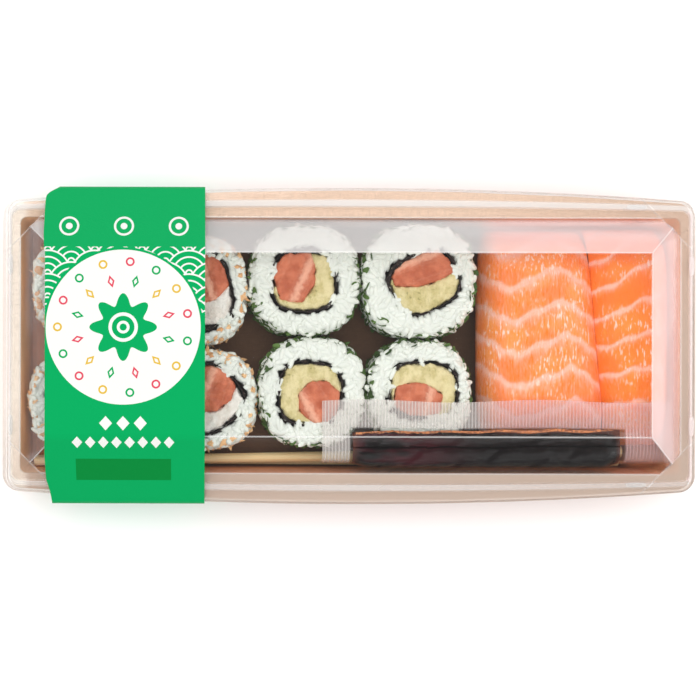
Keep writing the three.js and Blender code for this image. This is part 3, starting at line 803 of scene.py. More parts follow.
@dataclass(frozen=True)
class BandPrint(Finish):
    """Printed paper: a white disc of small motifs on green, under rows of waves."""

    green: Colour = paint(0, 150, 82)
    dark: Colour = paint(0, 122, 51)
    white: Colour = paint(216, 216, 212)
    pink: Colour = paint(200, 70, 88)
    gold: Colour = paint(202, 166, 60)
    middle: float = -74.4
    disc_y: float = 5.4
    disc: float = 25.0
    outline: float = 0.8
    wave: float = 7.6
    wave_gap: float = 2.1
    wave_line: float = 0.52
    wave_starts: float = 9.0
    wave_ends: float = 31.4
    badge_x: float = 8.9
    badge_y: float = 38.4
    # Two rows of lozenges: each row's place, half its length, its pitch and its marks' size.
    rows: tuple[tuple[float, float, float, float], ...] = (
        (-25.6, 8.4, 5.6, 2.1),
        (-31.8, 17.0, 4.25, 1.7),
    )
    plate: tuple[float, float, float, float] = (-89.9, -58.9, -44.3, -37.2)

    def surface(self, board: Board) -> Tap:
        """The whole print, by the place on the pack seen from above.

        Args:
            board: The tree.

        Returns:
            The shader.
        """
        spot, x, y, z = board.place()
        across, up = x - self.middle, y - self.disc_y
        reach = self.length(across, up)
        over = z > 10.0
        colour = board.mix(self.waves(x, y) * over, self.green, self.white)
        colour = board.mix(self.plate_mask(x, y) * over, colour, self.dark)
        colour = board.mix(self.badges(across, y) * over, colour, self.white)
        colour = board.mix(self.rows_of_marks(across, y) * over, colour, self.white)
        colour = board.mix((reach < self.disc + self.outline) * over, colour, self.green)
        colour = board.mix((reach < self.disc) * over, colour, self.white)
        for mask, tint in self.motifs(board, across, up, reach):
            colour = board.mix(mask * over, colour, tint)
        fibres = board.noise(spot, 1.1, 4.0, 0.6)
        return board.principled(
            Base_Color=colour,
            Specular_IOR_Level=0.08,
            Roughness=fibres * 0.15 + 0.48,
            Normal=board.bump(fibres, 0.06),
        )

    @staticmethod
    def length(across: Tap, up: Tap) -> Tap:
        """How far off a point is, from its two distances."""
        return (across * across + up * up) ** 0.5

    def waves(self, x: Tap, y: Tap) -> Tap:
        """Rows of overlapping arcs, the lower rows in front.

        Args:
            x: The place along the pack.
            y: The place across it.

        Returns:
            1 on the white lines of the arcs.
        """
        row_step = self.wave / 2
        row = (y / row_step).maths("FLOOR")
        lines = None
        for below in (-1, 0, 1):
            shift = ((row - below) % 2.0) * self.wave
            side = (x + shift) % (2 * self.wave) - self.wave
            off = self.length(side, y - (row - below) * row_step)
            arcs = (self.wave - off) % self.wave_gap < self.wave_line
            inside = off < self.wave
            lines = arcs if lines is None else arcs * inside + lines * (1 - inside)
        return lines * (y > self.wave_starts) * (y < self.wave_ends)

    def plate_mask(self, x: Tap, y: Tap) -> Tap:
        """The darker oblong near the front edge."""
        left, right, low, high = self.plate
        return (x > left) * (x < right) * (y > low) * (y < high)

    def badges(self, across: Tap, y: Tap) -> Tap:
        """Three plain rings with a dot in them, in a row near the back edge."""
        off = self.length(abs(abs(across) - self.badge_x) - self.badge_x, y - self.badge_y)
        return ((abs(off - 2.9) < 0.36) + (off < 1.1)).maths("MINIMUM", 1.0)

    def rows_of_marks(self, across: Tap, y: Tap) -> Tap:
        """Two rows of plain lozenges between the disc and the oblong.

        Args:
            across: The distance from the band's middle.
            y: The place across the pack.

        Returns:
            1 on the lozenges.
        """
        marks = None
        for row_y, half_row, pitch, size in self.rows:
            side = abs((across + half_row) % pitch - pitch / 2)
            lozenge = side + abs(y - row_y) * 0.9 < size
            row = lozenge * (abs(across) < half_row)
            marks = row if marks is None else marks + row
        return marks

    def motifs(self, board: Board, across: Tap, up: Tap, reach: Tap) -> list[tuple[Tap, Colour]]:
        """The disc's motifs: a rosette in the middle and two circles of small shapes round it.

        Args:
            board: The material.
            across: The distance from the disc's middle along the pack.
            up: The same across it.
            reach: The distance from the middle in all.

        Returns:
            A mask and a colour for each set of motifs.
        """
        angle = board.maths("ARCTAN2", up, across)
        petals = (angle * 8.0).maths("COSINE") * 1.9 + 9.0
        hole = (abs(reach - 4.2) < 0.55) + (abs(reach - 1.6) < 0.45)
        rosette = (reach < petals) * (1 - hole)
        sets = [(rosette, self.green)]
        for count, radius, kind in ((15, 21.2, 0), (12, 15.2, 1)):
            slice_width = 2 * math.pi / count
            turns = angle / slice_width + count
            sector = turns.maths("FLOOR")
            local = (turns - sector - 0.5) * slice_width
            out = reach * local.maths("COSINE") - radius
            side = reach * local.maths("SINE")
            if kind == 0:
                shape = abs(self.length(out, side) - 1.15) < 0.3
            else:
                lozenge = abs(out) * 0.55 + abs(side)
                shape = (lozenge < 1.15) * (lozenge > 0.55)
            for which, tint in enumerate((self.pink, self.gold, self.green)):
                chosen = abs(sector % 3.0 - which) < 0.5
                sets.append((shape * chosen, tint))
        return sets


@dataclass(frozen=True)
class FloorPaper(Finish):
    """The plain pale surface under the pack."""

    tone: Colour = (0.93, 0.93, 0.93, 1.0)

    def surface(self, board: Board) -> Tap:
        """Nearly even, with the least mottling."""
        mottle = board.noise(board.place()[0], 0.02, 2.0)
        return board.principled(Base_Color=self.tone, Roughness=mottle * 0.1 + 0.6)


KRAFT = KraftBoard("brown_kraft")
CLEAR = ClearSheet("clear_sheet")
PRINT = BandPrint("band_print")
RICE = CookedRice("cooked_rice")
NORI = Seaweed("seaweed")
SLICE_SALMON = SalmonSlice("salmon_slice")
CUT_SALMON = SalmonCut("salmon_cut")
AVOCADO = SoftFilling("avocado_flesh")
CHEESE = SoftFilling(
    "soft_cheese", paint(236, 230, 222), paint(222, 212, 200), paint(206, 186, 170)
)
CHOPPED_HERB = Flake("chopped_herb")
FRIED_ONION = Flake("fried_onion", paint(206, 136, 80), paint(244, 202, 152), 0.45)
SAUCE = SoySauce("soy_sauce")
FILM = SealedFilm("sachet_film")
FROTH = Froth("sauce_froth")
BAMBOO = Bamboo("raw_bamboo")
FLOOR = FloorPaper("floor_paper")


# ---- Modelling ------------------------------------------------------------------------------


def blend_step(low: float, high: float, at: Array) -> Array:
    """0 below one place, 1 above the other, and a smooth step between."""
    share = np.clip((at - low) / (high - low), 0, 1)
    return share * share * (3 - 2 * share)


def glide(at: Array, knots: Array, values: Array) -> Array:
    """Values between knots, on a smooth curve through them.

    Args:
        at: Where the values are wanted.
        knots: The places of the known values, rising.
        values: The known values.

    Returns:
        One value for each place.
    """
    slopes = np.gradient(values, knots)
    i = np.clip(np.searchsorted(knots, at) - 1, 0, len(knots) - 2)
    width = knots[i + 1] - knots[i]
    t = np.clip((at - knots[i]) / width, 0, 1)
    straight = (1 + 2 * t) * (1 - t) ** 2 * values[i] + t * t * (3 - 2 * t) * values[i + 1]
    return straight + width * (t * (1 - t) ** 2 * slopes[i] + t * t * (t - 1) * slopes[i + 1])


class Bench:
    """The modelling tools, used as by hand on one piece at a time, in millimetres."""

    def __init__(self, nodes: dict[str, Piece]) -> None:
        """Keeps the frame's own solids, to copy from."""
        self.nodes = nodes

    @staticmethod
    def choose(*pieces: Piece) -> None:
        """Selects these pieces and no other.

        Args:
            pieces: The pieces, the first of which becomes the active one.
        """
        bpy.ops.object.select_all(action="DESELECT")
        for piece in pieces:
            piece.select_set(True)
        bpy.context.view_layer.objects.active = pieces[0]

    def add(self, kind: str, name: str, **settings: Any) -> Piece:
        """Adds a primitive to work on.

        Args:
            kind: The primitive's kind, as Blender calls it.
            name: The piece's name.
            settings: The primitive's sizes and counts.

        Returns:
            The new piece, selected.
        """
        bpy.ops.object.select_all(action="DESELECT")
        getattr(bpy.ops.mesh, f"primitive_{kind}_add")(**settings)
        piece = bpy.context.object
        piece.name = piece.data.name = name
        return piece

    def copy_node(self, node: str, name: str) -> Piece:
        """A copy of one of the frame's solids in millimetres, with its loose triangles merged.

        Args:
            node: The solid's node.
            name: The copy's name.

        Returns:
            The copy.
        """
        piece = bpy.data.objects.new(name, self.nodes[node].data.copy())
        bpy.context.scene.collection.objects.link(piece)
        piece.data.transform(Matrix.Scale(1 / MM, 4))
        piece.data.materials.clear()
        with self.editing(piece):
            bpy.ops.mesh.select_all(action="SELECT")
            bpy.ops.mesh.remove_doubles(threshold=0.002)
        return piece

    def twin(self, piece: Piece, name: str) -> Piece:
        """A copy of a piece with a mesh of its own.

        Args:
            piece: The piece.
            name: The copy's name.

        Returns:
            The copy.
        """
        copied = piece.copy()
        copied.data = piece.data.copy()
        copied.name = copied.data.name = name
        bpy.context.scene.collection.objects.link(copied)
        return copied

    @contextmanager
    def editing(self, piece: Piece) -> Iterator[None]:
        """Edit mode on one piece for as long as the block lasts.

        Args:
            piece: The piece.

        Yields:
            Nothing.
        """
        self.choose(piece)
        bpy.ops.object.mode_set(mode="EDIT")
        yield
        bpy.ops.object.mode_set(mode="OBJECT")

    @staticmethod
    def pick(piece: Piece, kind: str, test: Test) -> None:
        """Selects the vertices, edges or faces that pass a test, in edit mode.

        Args:
            piece: The piece in edit mode.
            kind: VERT, EDGE or FACE.
            test: What each of them has to pass.
        """
        bpy.ops.mesh.select_mode(type=kind)
        bpy.ops.mesh.select_all(action="DESELECT")
        shape = bmesh.from_edit_mesh(piece.data)
        for item in {"VERT": shape.verts, "EDGE": shape.edges, "FACE": shape.faces}[kind]:
            if test(item):
                item.select_set(True)
        bmesh.update_edit_mesh(piece.data)

    def modify(self, piece: Piece, kind: str, **settings: Any) -> None:
        """Adds a modifier with its settings and applies it.

        Args:
            piece: The piece.
            kind: The modifier's type.
            settings: Its settings.
        """
        modifier = piece.modifiers.new(kind.title(), kind)
        for key, value in settings.items():
            setattr(modifier, key, value)
        self.choose(piece)
        bpy.ops.object.modifier_apply(modifier=modifier.name)

    @staticmethod
    def places(piece: Piece) -> Array:
        """Where a piece's vertices are.

        Args:
            piece: The piece.

        Returns:
            A row of x, y and z for each.
        """
        flat = np.empty(len(piece.data.vertices) * 3)
        piece.data.vertices.foreach_get("co", flat)
        return flat.reshape(-1, 3)

    @staticmethod
    def put(piece: Piece, spots: Array) -> None:
        """Puts each vertex at its own spot."""
        piece.data.vertices.foreach_set("co", spots.ravel())
        piece.data.update()

    def form(self, piece: Piece, rule: Rule) -> None:
        """Moves every vertex to where a rule puts it."""
        self.put(piece, rule(self.places(piece)))

    @staticmethod
    def mark(piece: Piece, name: str, values: Array) -> None:
        """Gives each vertex of a piece a number that its material can read."""
        layer = piece.data.attributes.new(name, "FLOAT", "POINT")
        layer.data.foreach_set("value", values.astype(np.float32))

    def roughen(self, piece: Piece, depth: float, size: float, swell: float) -> None:
        """Uneven relief on a whole piece.

        Args:
            piece: The piece.
            depth: How deep the relief is.
            size: How large its lumps are.
            swell: How far the surface moves out before that.
        """
        lumps = bpy.data.textures.new(f"{piece.name}_lumps", "CLOUDS")
        lumps.noise_scale = size
        lumps.noise_depth = 1
        level = 0.5 - swell / depth
        self.modify(piece, "DISPLACE", texture=lumps, strength=depth, mid_level=level)

    def knead(self, piece: Piece, cell: float, rounds: int) -> None:
        """Remakes a piece in even cells and smooths it, as soft food has no sharp edge."""
        self.modify(piece, "REMESH", mode="VOXEL", voxel_size=cell)
        self.modify(piece, "SMOOTH", factor=0.5, iterations=rounds)

    def join(self, pieces: list[Piece]) -> Piece:
        """Joins pieces into the first.

        Args:
            pieces: The pieces.

        Returns:
            The first.
        """
        self.choose(*pieces)
        bpy.ops.object.join()
        return pieces[0]

    @staticmethod
    def bisect(place: tuple[float, ...], normal: tuple[float, ...], **settings: bool) -> None:
        """Cuts the whole mesh along a plane, in edit mode."""
        bpy.ops.mesh.select_all(action="SELECT")
        bpy.ops.mesh.bisect(plane_co=place, plane_no=normal, **settings)

    @staticmethod
    def face_out() -> None:
        """Turns all faces outwards, in edit mode."""
        bpy.ops.mesh.select_all(action="SELECT")
        bpy.ops.mesh.normals_make_consistent(inside=False)

    def close(self, sheets: list[Piece]) -> Piece:
        """Closes two like sheets along their edges.

        Args:
            sheets: The upper and the lower sheet.

        Returns:
            Both as one closed piece.
        """
        piece = self.join(sheets)
        with self.editing(piece):
            self.pick(piece, "EDGE", lambda edge: edge.is_boundary)
            bpy.ops.mesh.bridge_edge_loops()
            self.face_out()
        return piece

    def smooth(self, piece: Piece, degrees: float) -> None:
        """Shades a piece smooth across edges that turn less than an angle."""
        self.choose(piece)
        bpy.ops.object.shade_smooth_by_angle(angle=math.radians(degrees))

    def flatten(self, piece: Piece) -> None:
        """Dissolves the edges inside a piece's flat faces.

        Args:
            piece: The piece.
        """
        with self.editing(piece):
            bpy.ops.mesh.select_all(action="SELECT")
            bpy.ops.mesh.dissolve_limited(angle_limit=math.radians(0.5))

    def deliver(self, piece: Piece, finish: Finish, slot: str, *nodes: str) -> Piece:
        """Hands a finished piece over to the frame.

        Args:
            piece: The piece, still in millimetres.
            finish: Its finish.
            slot: Not used.
            nodes: The frame's solids that it stands for.

        Returns:
            The piece, in metres.
        """
        piece.data.transform(Matrix.Scale(MM, 4))
        piece.data.materials.clear()
        piece.data.materials.append(finish.material())
        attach(piece, BODY)
        if nodes:
            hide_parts(*nodes)
        LOG.info("%s: %d faces in %s", piece.name, len(piece.data.polygons), finish.name)
        return piece


@dataclass
class Crowd:
    """Many small copies of one model, spread over a surface by a seeded draw."""

    bench: Bench
    seed: int
    draw: np.random.Generator = field(init=False)

    def __post_init__(self) -> None:
        """Starts the draw."""
        self.draw = np.random.default_rng(self.seed)

    def spots(self, piece: Piece, spacing: float, keep: Callable[..., Array]) -> Arrays:
        """Spots on a surface, none nearer to another than a spacing.

        Args:
            piece: The surface, with its own mesh.
            spacing: The least distance between two spots.
            keep: Says which spots may stay, from their places and normals.

        Returns:
            The places of the spots and the surface's normals there.
        """
        mesh = piece.data
        mesh.calc_loop_triangles()
        corners = np.array([t.vertices for t in mesh.loop_triangles])
        a, b, c = (self.bench.places(piece)[corners[:, i]] for i in range(3))
        cross = np.cross(b - a, c - a)
        area = np.linalg.norm(cross, axis=1)
        count = int(area.sum() * 2.6 / spacing**2)
        chosen = self.draw.choice(len(area), count, p=area / area.sum())
        u, v = self.draw.random((2, count, 1))
        over = u + v > 1
        u, v = np.where(over, 1 - u, u), np.where(over, 1 - v, v)
        places = a[chosen] + u * (b - a)[chosen] + v * (c - a)[chosen]
        normals = (cross / np.maximum(area, 1e-9)[:, None])[chosen]
        allowed = keep(places, normals)
        places, normals = places[allowed], normals[allowed]
        taken: list[int] = []
        for i, place in enumerate(places):
            if not taken or np.min(np.sum((places[taken] - place) ** 2, axis=1)) > spacing**2:
                taken.append(i)
        return places[taken], normals[taken]

    def gather(self, name: str, model: Piece, spots: Arrays, lean: float, sizes: Pair) -> Piece:
        """One mesh of a copy of the model at each spot, each turned its own way.

        Args:
            name: The new piece's name.
            model: The model, long along X and flat towards Z.
            spots: Places and normals.
            lean: How far a copy may lean off the surface, as a share.
            sizes: The smallest and largest scale.

        Returns:
            The piece, each copy with a `tint` of its own.
        """
        places, normals = spots
        count = len(places)
        up = normals + lean * self.draw.normal(size=(count, 3))
        up /= np.linalg.norm(up, axis=1)[:, None]
        along = np.cross(up, self.draw.normal(size=(count, 3)))
        along /= np.linalg.norm(along, axis=1)[:, None]
        turns = np.stack([along, np.cross(up, along), up], axis=2)
        scale = self.draw.uniform(*sizes, size=(count, 1, 3))
        shape = self.bench.places(model)
        corners = np.einsum("nij,nvj->nvi", turns, shape[None] * scale) + places[:, None]
        faces = [list(face.vertices) for face in model.data.polygons]
        step = len(shape)
        mesh = bpy.data.meshes.new(name)
        mesh.from_pydata(
            corners.reshape(-1, 3).tolist(),
            [],
            [[v + step * n for v in face] for n in range(count) for face in faces],
        )
        piece = bpy.data.objects.new(name, mesh)
        bpy.context.scene.collection.objects.link(piece)
        self.bench.mark(piece, "tint", np.repeat(self.draw.random(count), step))
        return piece


# ---- The pack -------------------------------------------------------------------------------


@dataclass
class KraftTray:
    """The open tray: pressed board with a flat rim, its edges rounded."""

    bench: Bench
    edge: float = 0.3

    def build(self) -> list[Piece]:
        """Rounds the frame's own tray.

        Returns:
            The tray.
        """
        tray = self.bench.copy_node("tray", "kraft_tray")
        self.bench.flatten(tray)
        self.bench.modify(
            tray, "BEVEL", width=self.edge, segments=2, limit_method="ANGLE", angle_limit=0.6
        )
        self.bench.smooth(tray, 40)
        return [self.bench.deliver(tray, KRAFT, "kraft_board", "tray")]


@dataclass(frozen=True)
class Ring:
    """One ring of the lid's rim: its half sizes, corner radius, bow and height."""

    x: float
    y: float
    corner: float
    bow: float
    z: float


@dataclass
class ClearLid:
    """The clear lid: a raised panel with four slopes, and a beaded rim with a skirt."""

    bench: Bench
    film: float = 0.4
    foot: Pair = (108.9, 42.25)
    land: float = 30.0
    panel: float = 42.4
    slope: float = 12.4
    chamfer: float = 6.8
    bead: float = 31.4
    skirt: float = 24.8
    fold: float = 0.5
    rim_fold: float = 0.12
    nub: tuple[float, float, float] = (3.5, 0.9, 0.6)
    nub_x: float = 93.8
    nub_y: float = 26.4
    nub_film: float = 0.15

    def rings(self) -> list[Ring]:
        """The rim's rings.

        Returns:
            The rings, from the lip of the skirt in to the foot of the bead.
        """
        return [
            Ring(115.1, 48.1, 5.2, 4.5, self.skirt - 0.3),
            Ring(114.3, 47.9, 4.7, 4.4, self.skirt),
            Ring(113.2, 47.7, 4.2, 4.3, self.land),
            Ring(112.7, 46.4, 3.5, 1.9, self.land),
            Ring(112.3, 46.0, 3.2, 1.8, self.bead),
            Ring(111.7, 44.6, 2.7, 1.3, self.bead),
            Ring(111.3, 44.2, 2.4, 1.2, self.land),
        ]

    def rim(self) -> Piece:
        """Extrudes a rounded oblong ring by ring, and brings each ring to its size.

        Returns:
            The rim.
        """
        rings = self.rings()
        first = rings[0]
        rim = self.bench.add("plane", "lid_rim", size=2)
        with self.bench.editing(rim):
            bpy.ops.mesh.select_all(action="SELECT")
            bpy.ops.transform.resize(value=(first.x, first.y, 1))
            bpy.ops.mesh.bevel(offset=first.corner, segments=8, affect="VERTICES")
            self.bench.pick(rim, "EDGE", lambda edge: edge.calc_length() > 4 * first.corner)
            bpy.ops.mesh.subdivide(number_cuts=17)
            bpy.ops.mesh.select_all(action="SELECT")
            bpy.ops.mesh.delete(type="ONLY_FACE")
            for top in range(len(rings) - 1):
                self.bench.pick(
                    rim, "EDGE", lambda edge: min(v.co.z for v in edge.verts) > top - 0.5
                )
                bpy.ops.mesh.extrude_region_move(TRANSFORM_OT_translate={"value": (0, 0, 1)})
        self.bench.form(rim, lambda places: self.sized(places, rings))
        return rim

    @staticmethod
    def sized(places: Array, rings: list[Ring]) -> Array:
        """Brings each ring, a millimetre above the last, to its own size, bow and height.

        Args:
            places: The vertices of equal rings, one over the other.
            rings: What each of them becomes.

        Returns:
            The vertices in their places.
        """
        first = rings[0]
        steps = np.rint(places[:, 2]).astype(int)
        x, y, corner, bow, z = (
            np.array([getattr(ring, key) for ring in rings])[steps]
            for key in ("x", "y", "corner", "bow", "z")
        )
        out = np.empty_like(places)
        for axis, half, full in ((0, x, first.x), (1, y, first.y)):
            size = np.abs(places[:, axis])
            straight = size / (full - first.corner) * (half - corner)
            round_part = half - corner + (size - full + first.corner) / first.corner * corner
            value = np.where(size <= full - first.corner, straight, round_part)
            out[:, axis] = np.sign(places[:, axis]) * value
        bowed = bow * (1 - (out[:, 0] / x) ** 2) * np.abs(out[:, 1]) / y
        out[:, 1] += np.sign(out[:, 1]) * bowed
        out[:, 2] = z
        return out

    def raised(self) -> Piece:
        """Extrudes a plane up, draws it in and cuts its corners off upright.

        Returns:
            The raised part.
        """
        wide, deep = self.foot
        raised = self.bench.add("plane", "clear_lid", size=2)
        with self.bench.editing(raised):
            bpy.ops.mesh.select_all(action="SELECT")
            bpy.ops.transform.resize(value=(wide, deep, 1))
            bpy.ops.transform.translate(value=(0, 0, self.land))
            bpy.ops.mesh.extrude_region_move(
                TRANSFORM_OT_translate={"value": (0, 0, self.panel - self.land)}
            )
            bpy.ops.transform.resize(
                value=((wide - self.slope) / wide, (deep - self.slope) / deep, 1)
            )
            self.bench.pick(
                raised, "FACE", lambda face: face.calc_center_median().z < self.land + 0.01
            )
            bpy.ops.mesh.delete(type="FACE")
            for side in (-1, 1):
                for end in (-1, 1):
                    middle = (side * (wide - self.chamfer), end * deep, self.land)
                    self.bench.bisect(middle, (side, end, 0), clear_outer=True)
                    self.bench.pick(
                        raised, "VERT", lambda vert: self.on_corner(vert.co, side, end)
                    )
                    bpy.ops.mesh.edge_face_add()
        return raised

    def on_corner(self, spot: Vector, side: int, end: int) -> bool:
        """Whether a vertex is one of the three on a corner's upright cut."""
        wide, deep = self.foot
        return abs(side * spot.x - wide + end * spot.y - deep + self.chamfer) < 0.01

    def sheet(self) -> Piece:
        """Fills in the land, rounds the folds and thickens the film.

        Returns:
            The lid.
        """
        lid = self.bench.join([self.raised(), self.rim()])
        with self.bench.editing(lid):
            self.bench.pick(
                lid,
                "EDGE",
                lambda edge: len(edge.link_faces) == 1
                and all(abs(v.co.z - self.land) < 0.01 for v in edge.verts),
            )
            bpy.ops.mesh.fill(use_beauty=True)
            bpy.ops.mesh.select_all(action="SELECT")
            bpy.ops.mesh.remove_doubles(threshold=0.001)
            bpy.ops.mesh.normals_make_consistent(inside=False)
            for on_rim, round_off in ((False, self.fold), (True, self.rim_fold)):
                self.bench.pick(lid, "EDGE", lambda edge: self.folded(edge, on_rim))
                bpy.ops.mesh.bevel(offset=round_off, segments=3, affect="EDGES")
        self.bench.modify(lid, "SOLIDIFY", thickness=self.film, offset=-1.0)
        self.bench.smooth(lid, 35)
        return lid

    def folded(self, edge: Any, on_rim: bool) -> bool:
        """Whether an edge is a fold to round off.

        Args:
            edge: The edge.
            on_rim: Whether the rim's are wanted, or the raised part's.

        Returns:
            True where it is one.
        """
        low, high = sorted(v.co.z for v in edge.verts)
        upright = high <= self.land + 0.01 and high - low > 1.0
        inside = all(
            abs(v.co.x) < self.foot[0] + 0.7 and abs(v.co.y) < self.foot[1] + 0.7
            for v in edge.verts
        )
        sharp = len(edge.link_faces) == 2 and edge.calc_face_angle(0) > 0.25
        return sharp and not upright and inside != on_rim

    def nubs(self) -> Piece:
        """Models one nub and copies it to the eight spots that clip the lid on.

        Returns:
            All nubs.
        """
        half_long, half_wide, high = self.nub
        model = self.bench.add("uv_sphere", "lid_nubs", segments=20, ring_count=10, radius=1)
        self.bench.form(
            model,
            lambda p: np.sign(p) * np.abs(p) ** (0.7, 0.8, 0.9) * (half_long, half_wide, high),
        )
        with self.bench.editing(model):
            self.bench.bisect((0, 0, 0.02), (0, 0, 1), clear_inner=True)
        rings = self.rings()
        inner, outer = rings[5], rings[4]
        north = inner.y + inner.bow * (1 - (self.nub_x / inner.x) ** 2) + half_wide / 1.5
        places = [
            (sx * x, sy * y, turn)
            for x, y, turn in (
                (self.nub_x, north, 0.0),
                ((inner.x + outer.x) / 2, self.nub_y, math.pi / 2),
            )
            for sx in (-1, 1)
            for sy in (-1, 1)
        ]
        pieces = []
        for i, (x, y, turn) in enumerate(places):
            nub = self.bench.twin(model, f"lid_nub_{i}")
            move = Matrix.Translation((x, y, self.bead)) @ Matrix.Rotation(turn, 4, "Z")
            nub.data.transform(move)
            pieces.append(nub)
        bpy.data.objects.remove(model)
        nubs = self.bench.join(pieces)
        nubs.name = "lid_nubs"
        self.bench.modify(nubs, "SOLIDIFY", thickness=self.nub_film, offset=-1.0)
        self.bench.smooth(nubs, 60)
        return nubs

    def build(self) -> list[Piece]:
        """Delivers both meshes.

        Returns:
            The lid and its nubs.
        """
        return [
            self.bench.deliver(self.sheet(), CLEAR, "clear_lid", "lid"),
            self.bench.deliver(self.nubs(), CLEAR, "clear_lid"),
        ]


@dataclass
class PaperBand:
    """The printed paper band, taut round the pack, its folds soft and its edges cut by hand."""

    bench: Bench
    paper: float = 0.4
    fold: float = 0.38
    # How far in the left edge lies at places across the pack.
    edge_y: tuple[float, ...] = (-51, -48, -44, -36, -30, 30, 32, 44, 48)
    edge_in: tuple[float, ...] = (2.8, 2.3, 1.2, 1.0, 1.3, 1.3, 0.6, 0.6, 0.7)
    corner: float = 4.6
    corner_rounds: Pair = (46.5, 52.6)
    corner_y: tuple[float, ...] = (36, 44, 46.5, 48, 49.2, 50.2, 51.1)
    swell: float = 0.12

    def build(self) -> list[Piece]:
        """Rounds the folds, trims and thickens the outside of the frame's own band.

        Returns:
            The band.
        """
        band = self.bench.copy_node("band", "paper_band")
        self.bench.flatten(band)
        with self.bench.editing(band):
            self.bench.pick(band, "FACE", lambda face: not self.outer(face))
            bpy.ops.mesh.delete(type="FACE")
            self.bench.pick(band, "EDGE", lambda edge: len(edge.link_faces) == 2)
            bpy.ops.mesh.bevel(offset=self.fold, segments=4, affect="EDGES")
            low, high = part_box("band")
            left, right = low[0] / MM, high[0] / MM
            for x in np.linspace(left, right, 17)[1:-1]:
                self.bench.bisect((x, 0, 0), (1, 0, 0))
            for y in (*np.linspace(-26, 26, 14), *self.edge_y[1:4], *self.corner_y):
                self.bench.bisect((0, y, 0), (0, 1, 0))
        self.bench.form(band, lambda places: self.cut(places, left, right))
        self.bench.modify(
            band, "SOLIDIFY", thickness=self.paper, offset=-1.0, use_even_offset=True
        )
        self.bench.smooth(band, 40)
        return [self.bench.deliver(band, PRINT, "band_paper", "band")]

    def outer(self, face: Any) -> bool:
        """Whether a face is on the outside of the loop."""
        middle = face.calc_center_median() - Vector((0, 0, 20))
        return abs(face.normal.x) < 0.5 and face.normal.dot(middle * Vector((0, 1, 1))) > 0

    def cut(self, places: Array, left: float, right: float) -> Array:
        """Trims the left edge as by hand and rounds its back corner, drawing the rest along.

        Args:
            places: The vertices.
            left: The band's left edge.
            right: Its right edge, which stays.

        Returns:
            The vertices in their places.
        """
        x, y, z = places.T
        leant = np.interp(y, self.edge_y, self.edge_in)
        rounded = self.corner * blend_step(*self.corner_rounds, y) ** 3
        share = (right - x) / (right - left)
        swell = self.swell * np.sin(0.21 * x + 0.6) * np.sin(0.15 * y) * blend_step(40, 42, z)
        return np.column_stack([x + (leant + rounded) * share, y, z - np.abs(swell)])


# ---- The food -------------------------------------------------------------------------------


@dataclass(frozen=True)
class Dressing:
    """The bits that a roll is coated with, and the soft filling that goes with them."""

    bits: str
    finish: Finish
    gap: float
    sizes: Pair
    # Shares of the bits that stay at the top and on its edge, and where that edge starts.
    top_share: float
    edge_share: float
    edge: float
    soft: str
    soft_finish: Finish
    soft_slot: str


class Coat(Enum):
    """The two kinds of roll."""

    HERB = Dressing(
        "herbs", CHOPPED_HERB, 1.5, (0.85, 1.7), 0.05, 0.06, 0.92, "avocado", AVOCADO, "avocado"
    )
    ONION = Dressing(
        "onion", FRIED_ONION, 2.1, (0.55, 1.35), 0.45, 0.7, 0.87, "cheese", CHEESE, "cream_cheese"
    )


@dataclass
class Kit:
    """The small models that all grains, herbs and crumbs are copies of."""

    bench: Bench
    grain: Piece = field(init=False)
    herb: Piece = field(init=False)
    crumb: Piece = field(init=False)

    def __post_init__(self) -> None:
        """Models each of them once."""
        self.grain = self.bench.add("uv_sphere", "grain", segments=8, ring_count=7, radius=1)
        self.bench.form(self.grain, self.as_grain)
        self.herb = self.bench.add("ico_sphere", "herb", subdivisions=2, radius=1)
        self.bench.form(self.herb, self.as_herb)
        self.crumb = self.bench.add("ico_sphere", "crumb", subdivisions=2, radius=1)
        self.bench.form(self.crumb, self.as_crumb)

    @staticmethod
    def as_grain(places: Array) -> Array:
        """A grain lying along X, bent a little."""
        y, x, z = places[:, 0], places[:, 2], places[:, 1]
        return np.column_stack([2.7 * x, 1.15 * y + 0.3 * x**2, 1.05 * z])

    @staticmethod
    def as_herb(places: Array) -> Array:
        """A chopped leaf: thin, curled and narrow at one end.

        Args:
            places: The vertices of a ball.

        Returns:
            Those of the leaf.
        """
        x, y, z = places.T
        narrow = 0.8 - 0.35 * x
        return np.column_stack([1.5 * x, narrow * y + 0.2 * x * x, 0.16 * z + 0.3 * y * y - 0.2])

    @staticmethod
    def as_crumb(places: Array) -> Array:
        """A crisp curled crumb with an uneven outline.

        Args:
            places: The vertices of a ball.

        Returns:
            Those of the crumb.
        """
        x, y, z = places.T
        uneven = 1 + 0.25 * np.sin(5 * x + 2) + 0.2 * np.sin(6 * y) + 0.2 * np.sin(5 * z + 1)
        return np.column_stack([1.4 * x * uneven, 0.95 * y * uneven, 0.6 * z * uneven])

    def clear(self) -> None:
        """Removes the models once all copies are made."""
        for model in (self.grain, self.herb, self.crumb):
            bpy.data.objects.remove(model)


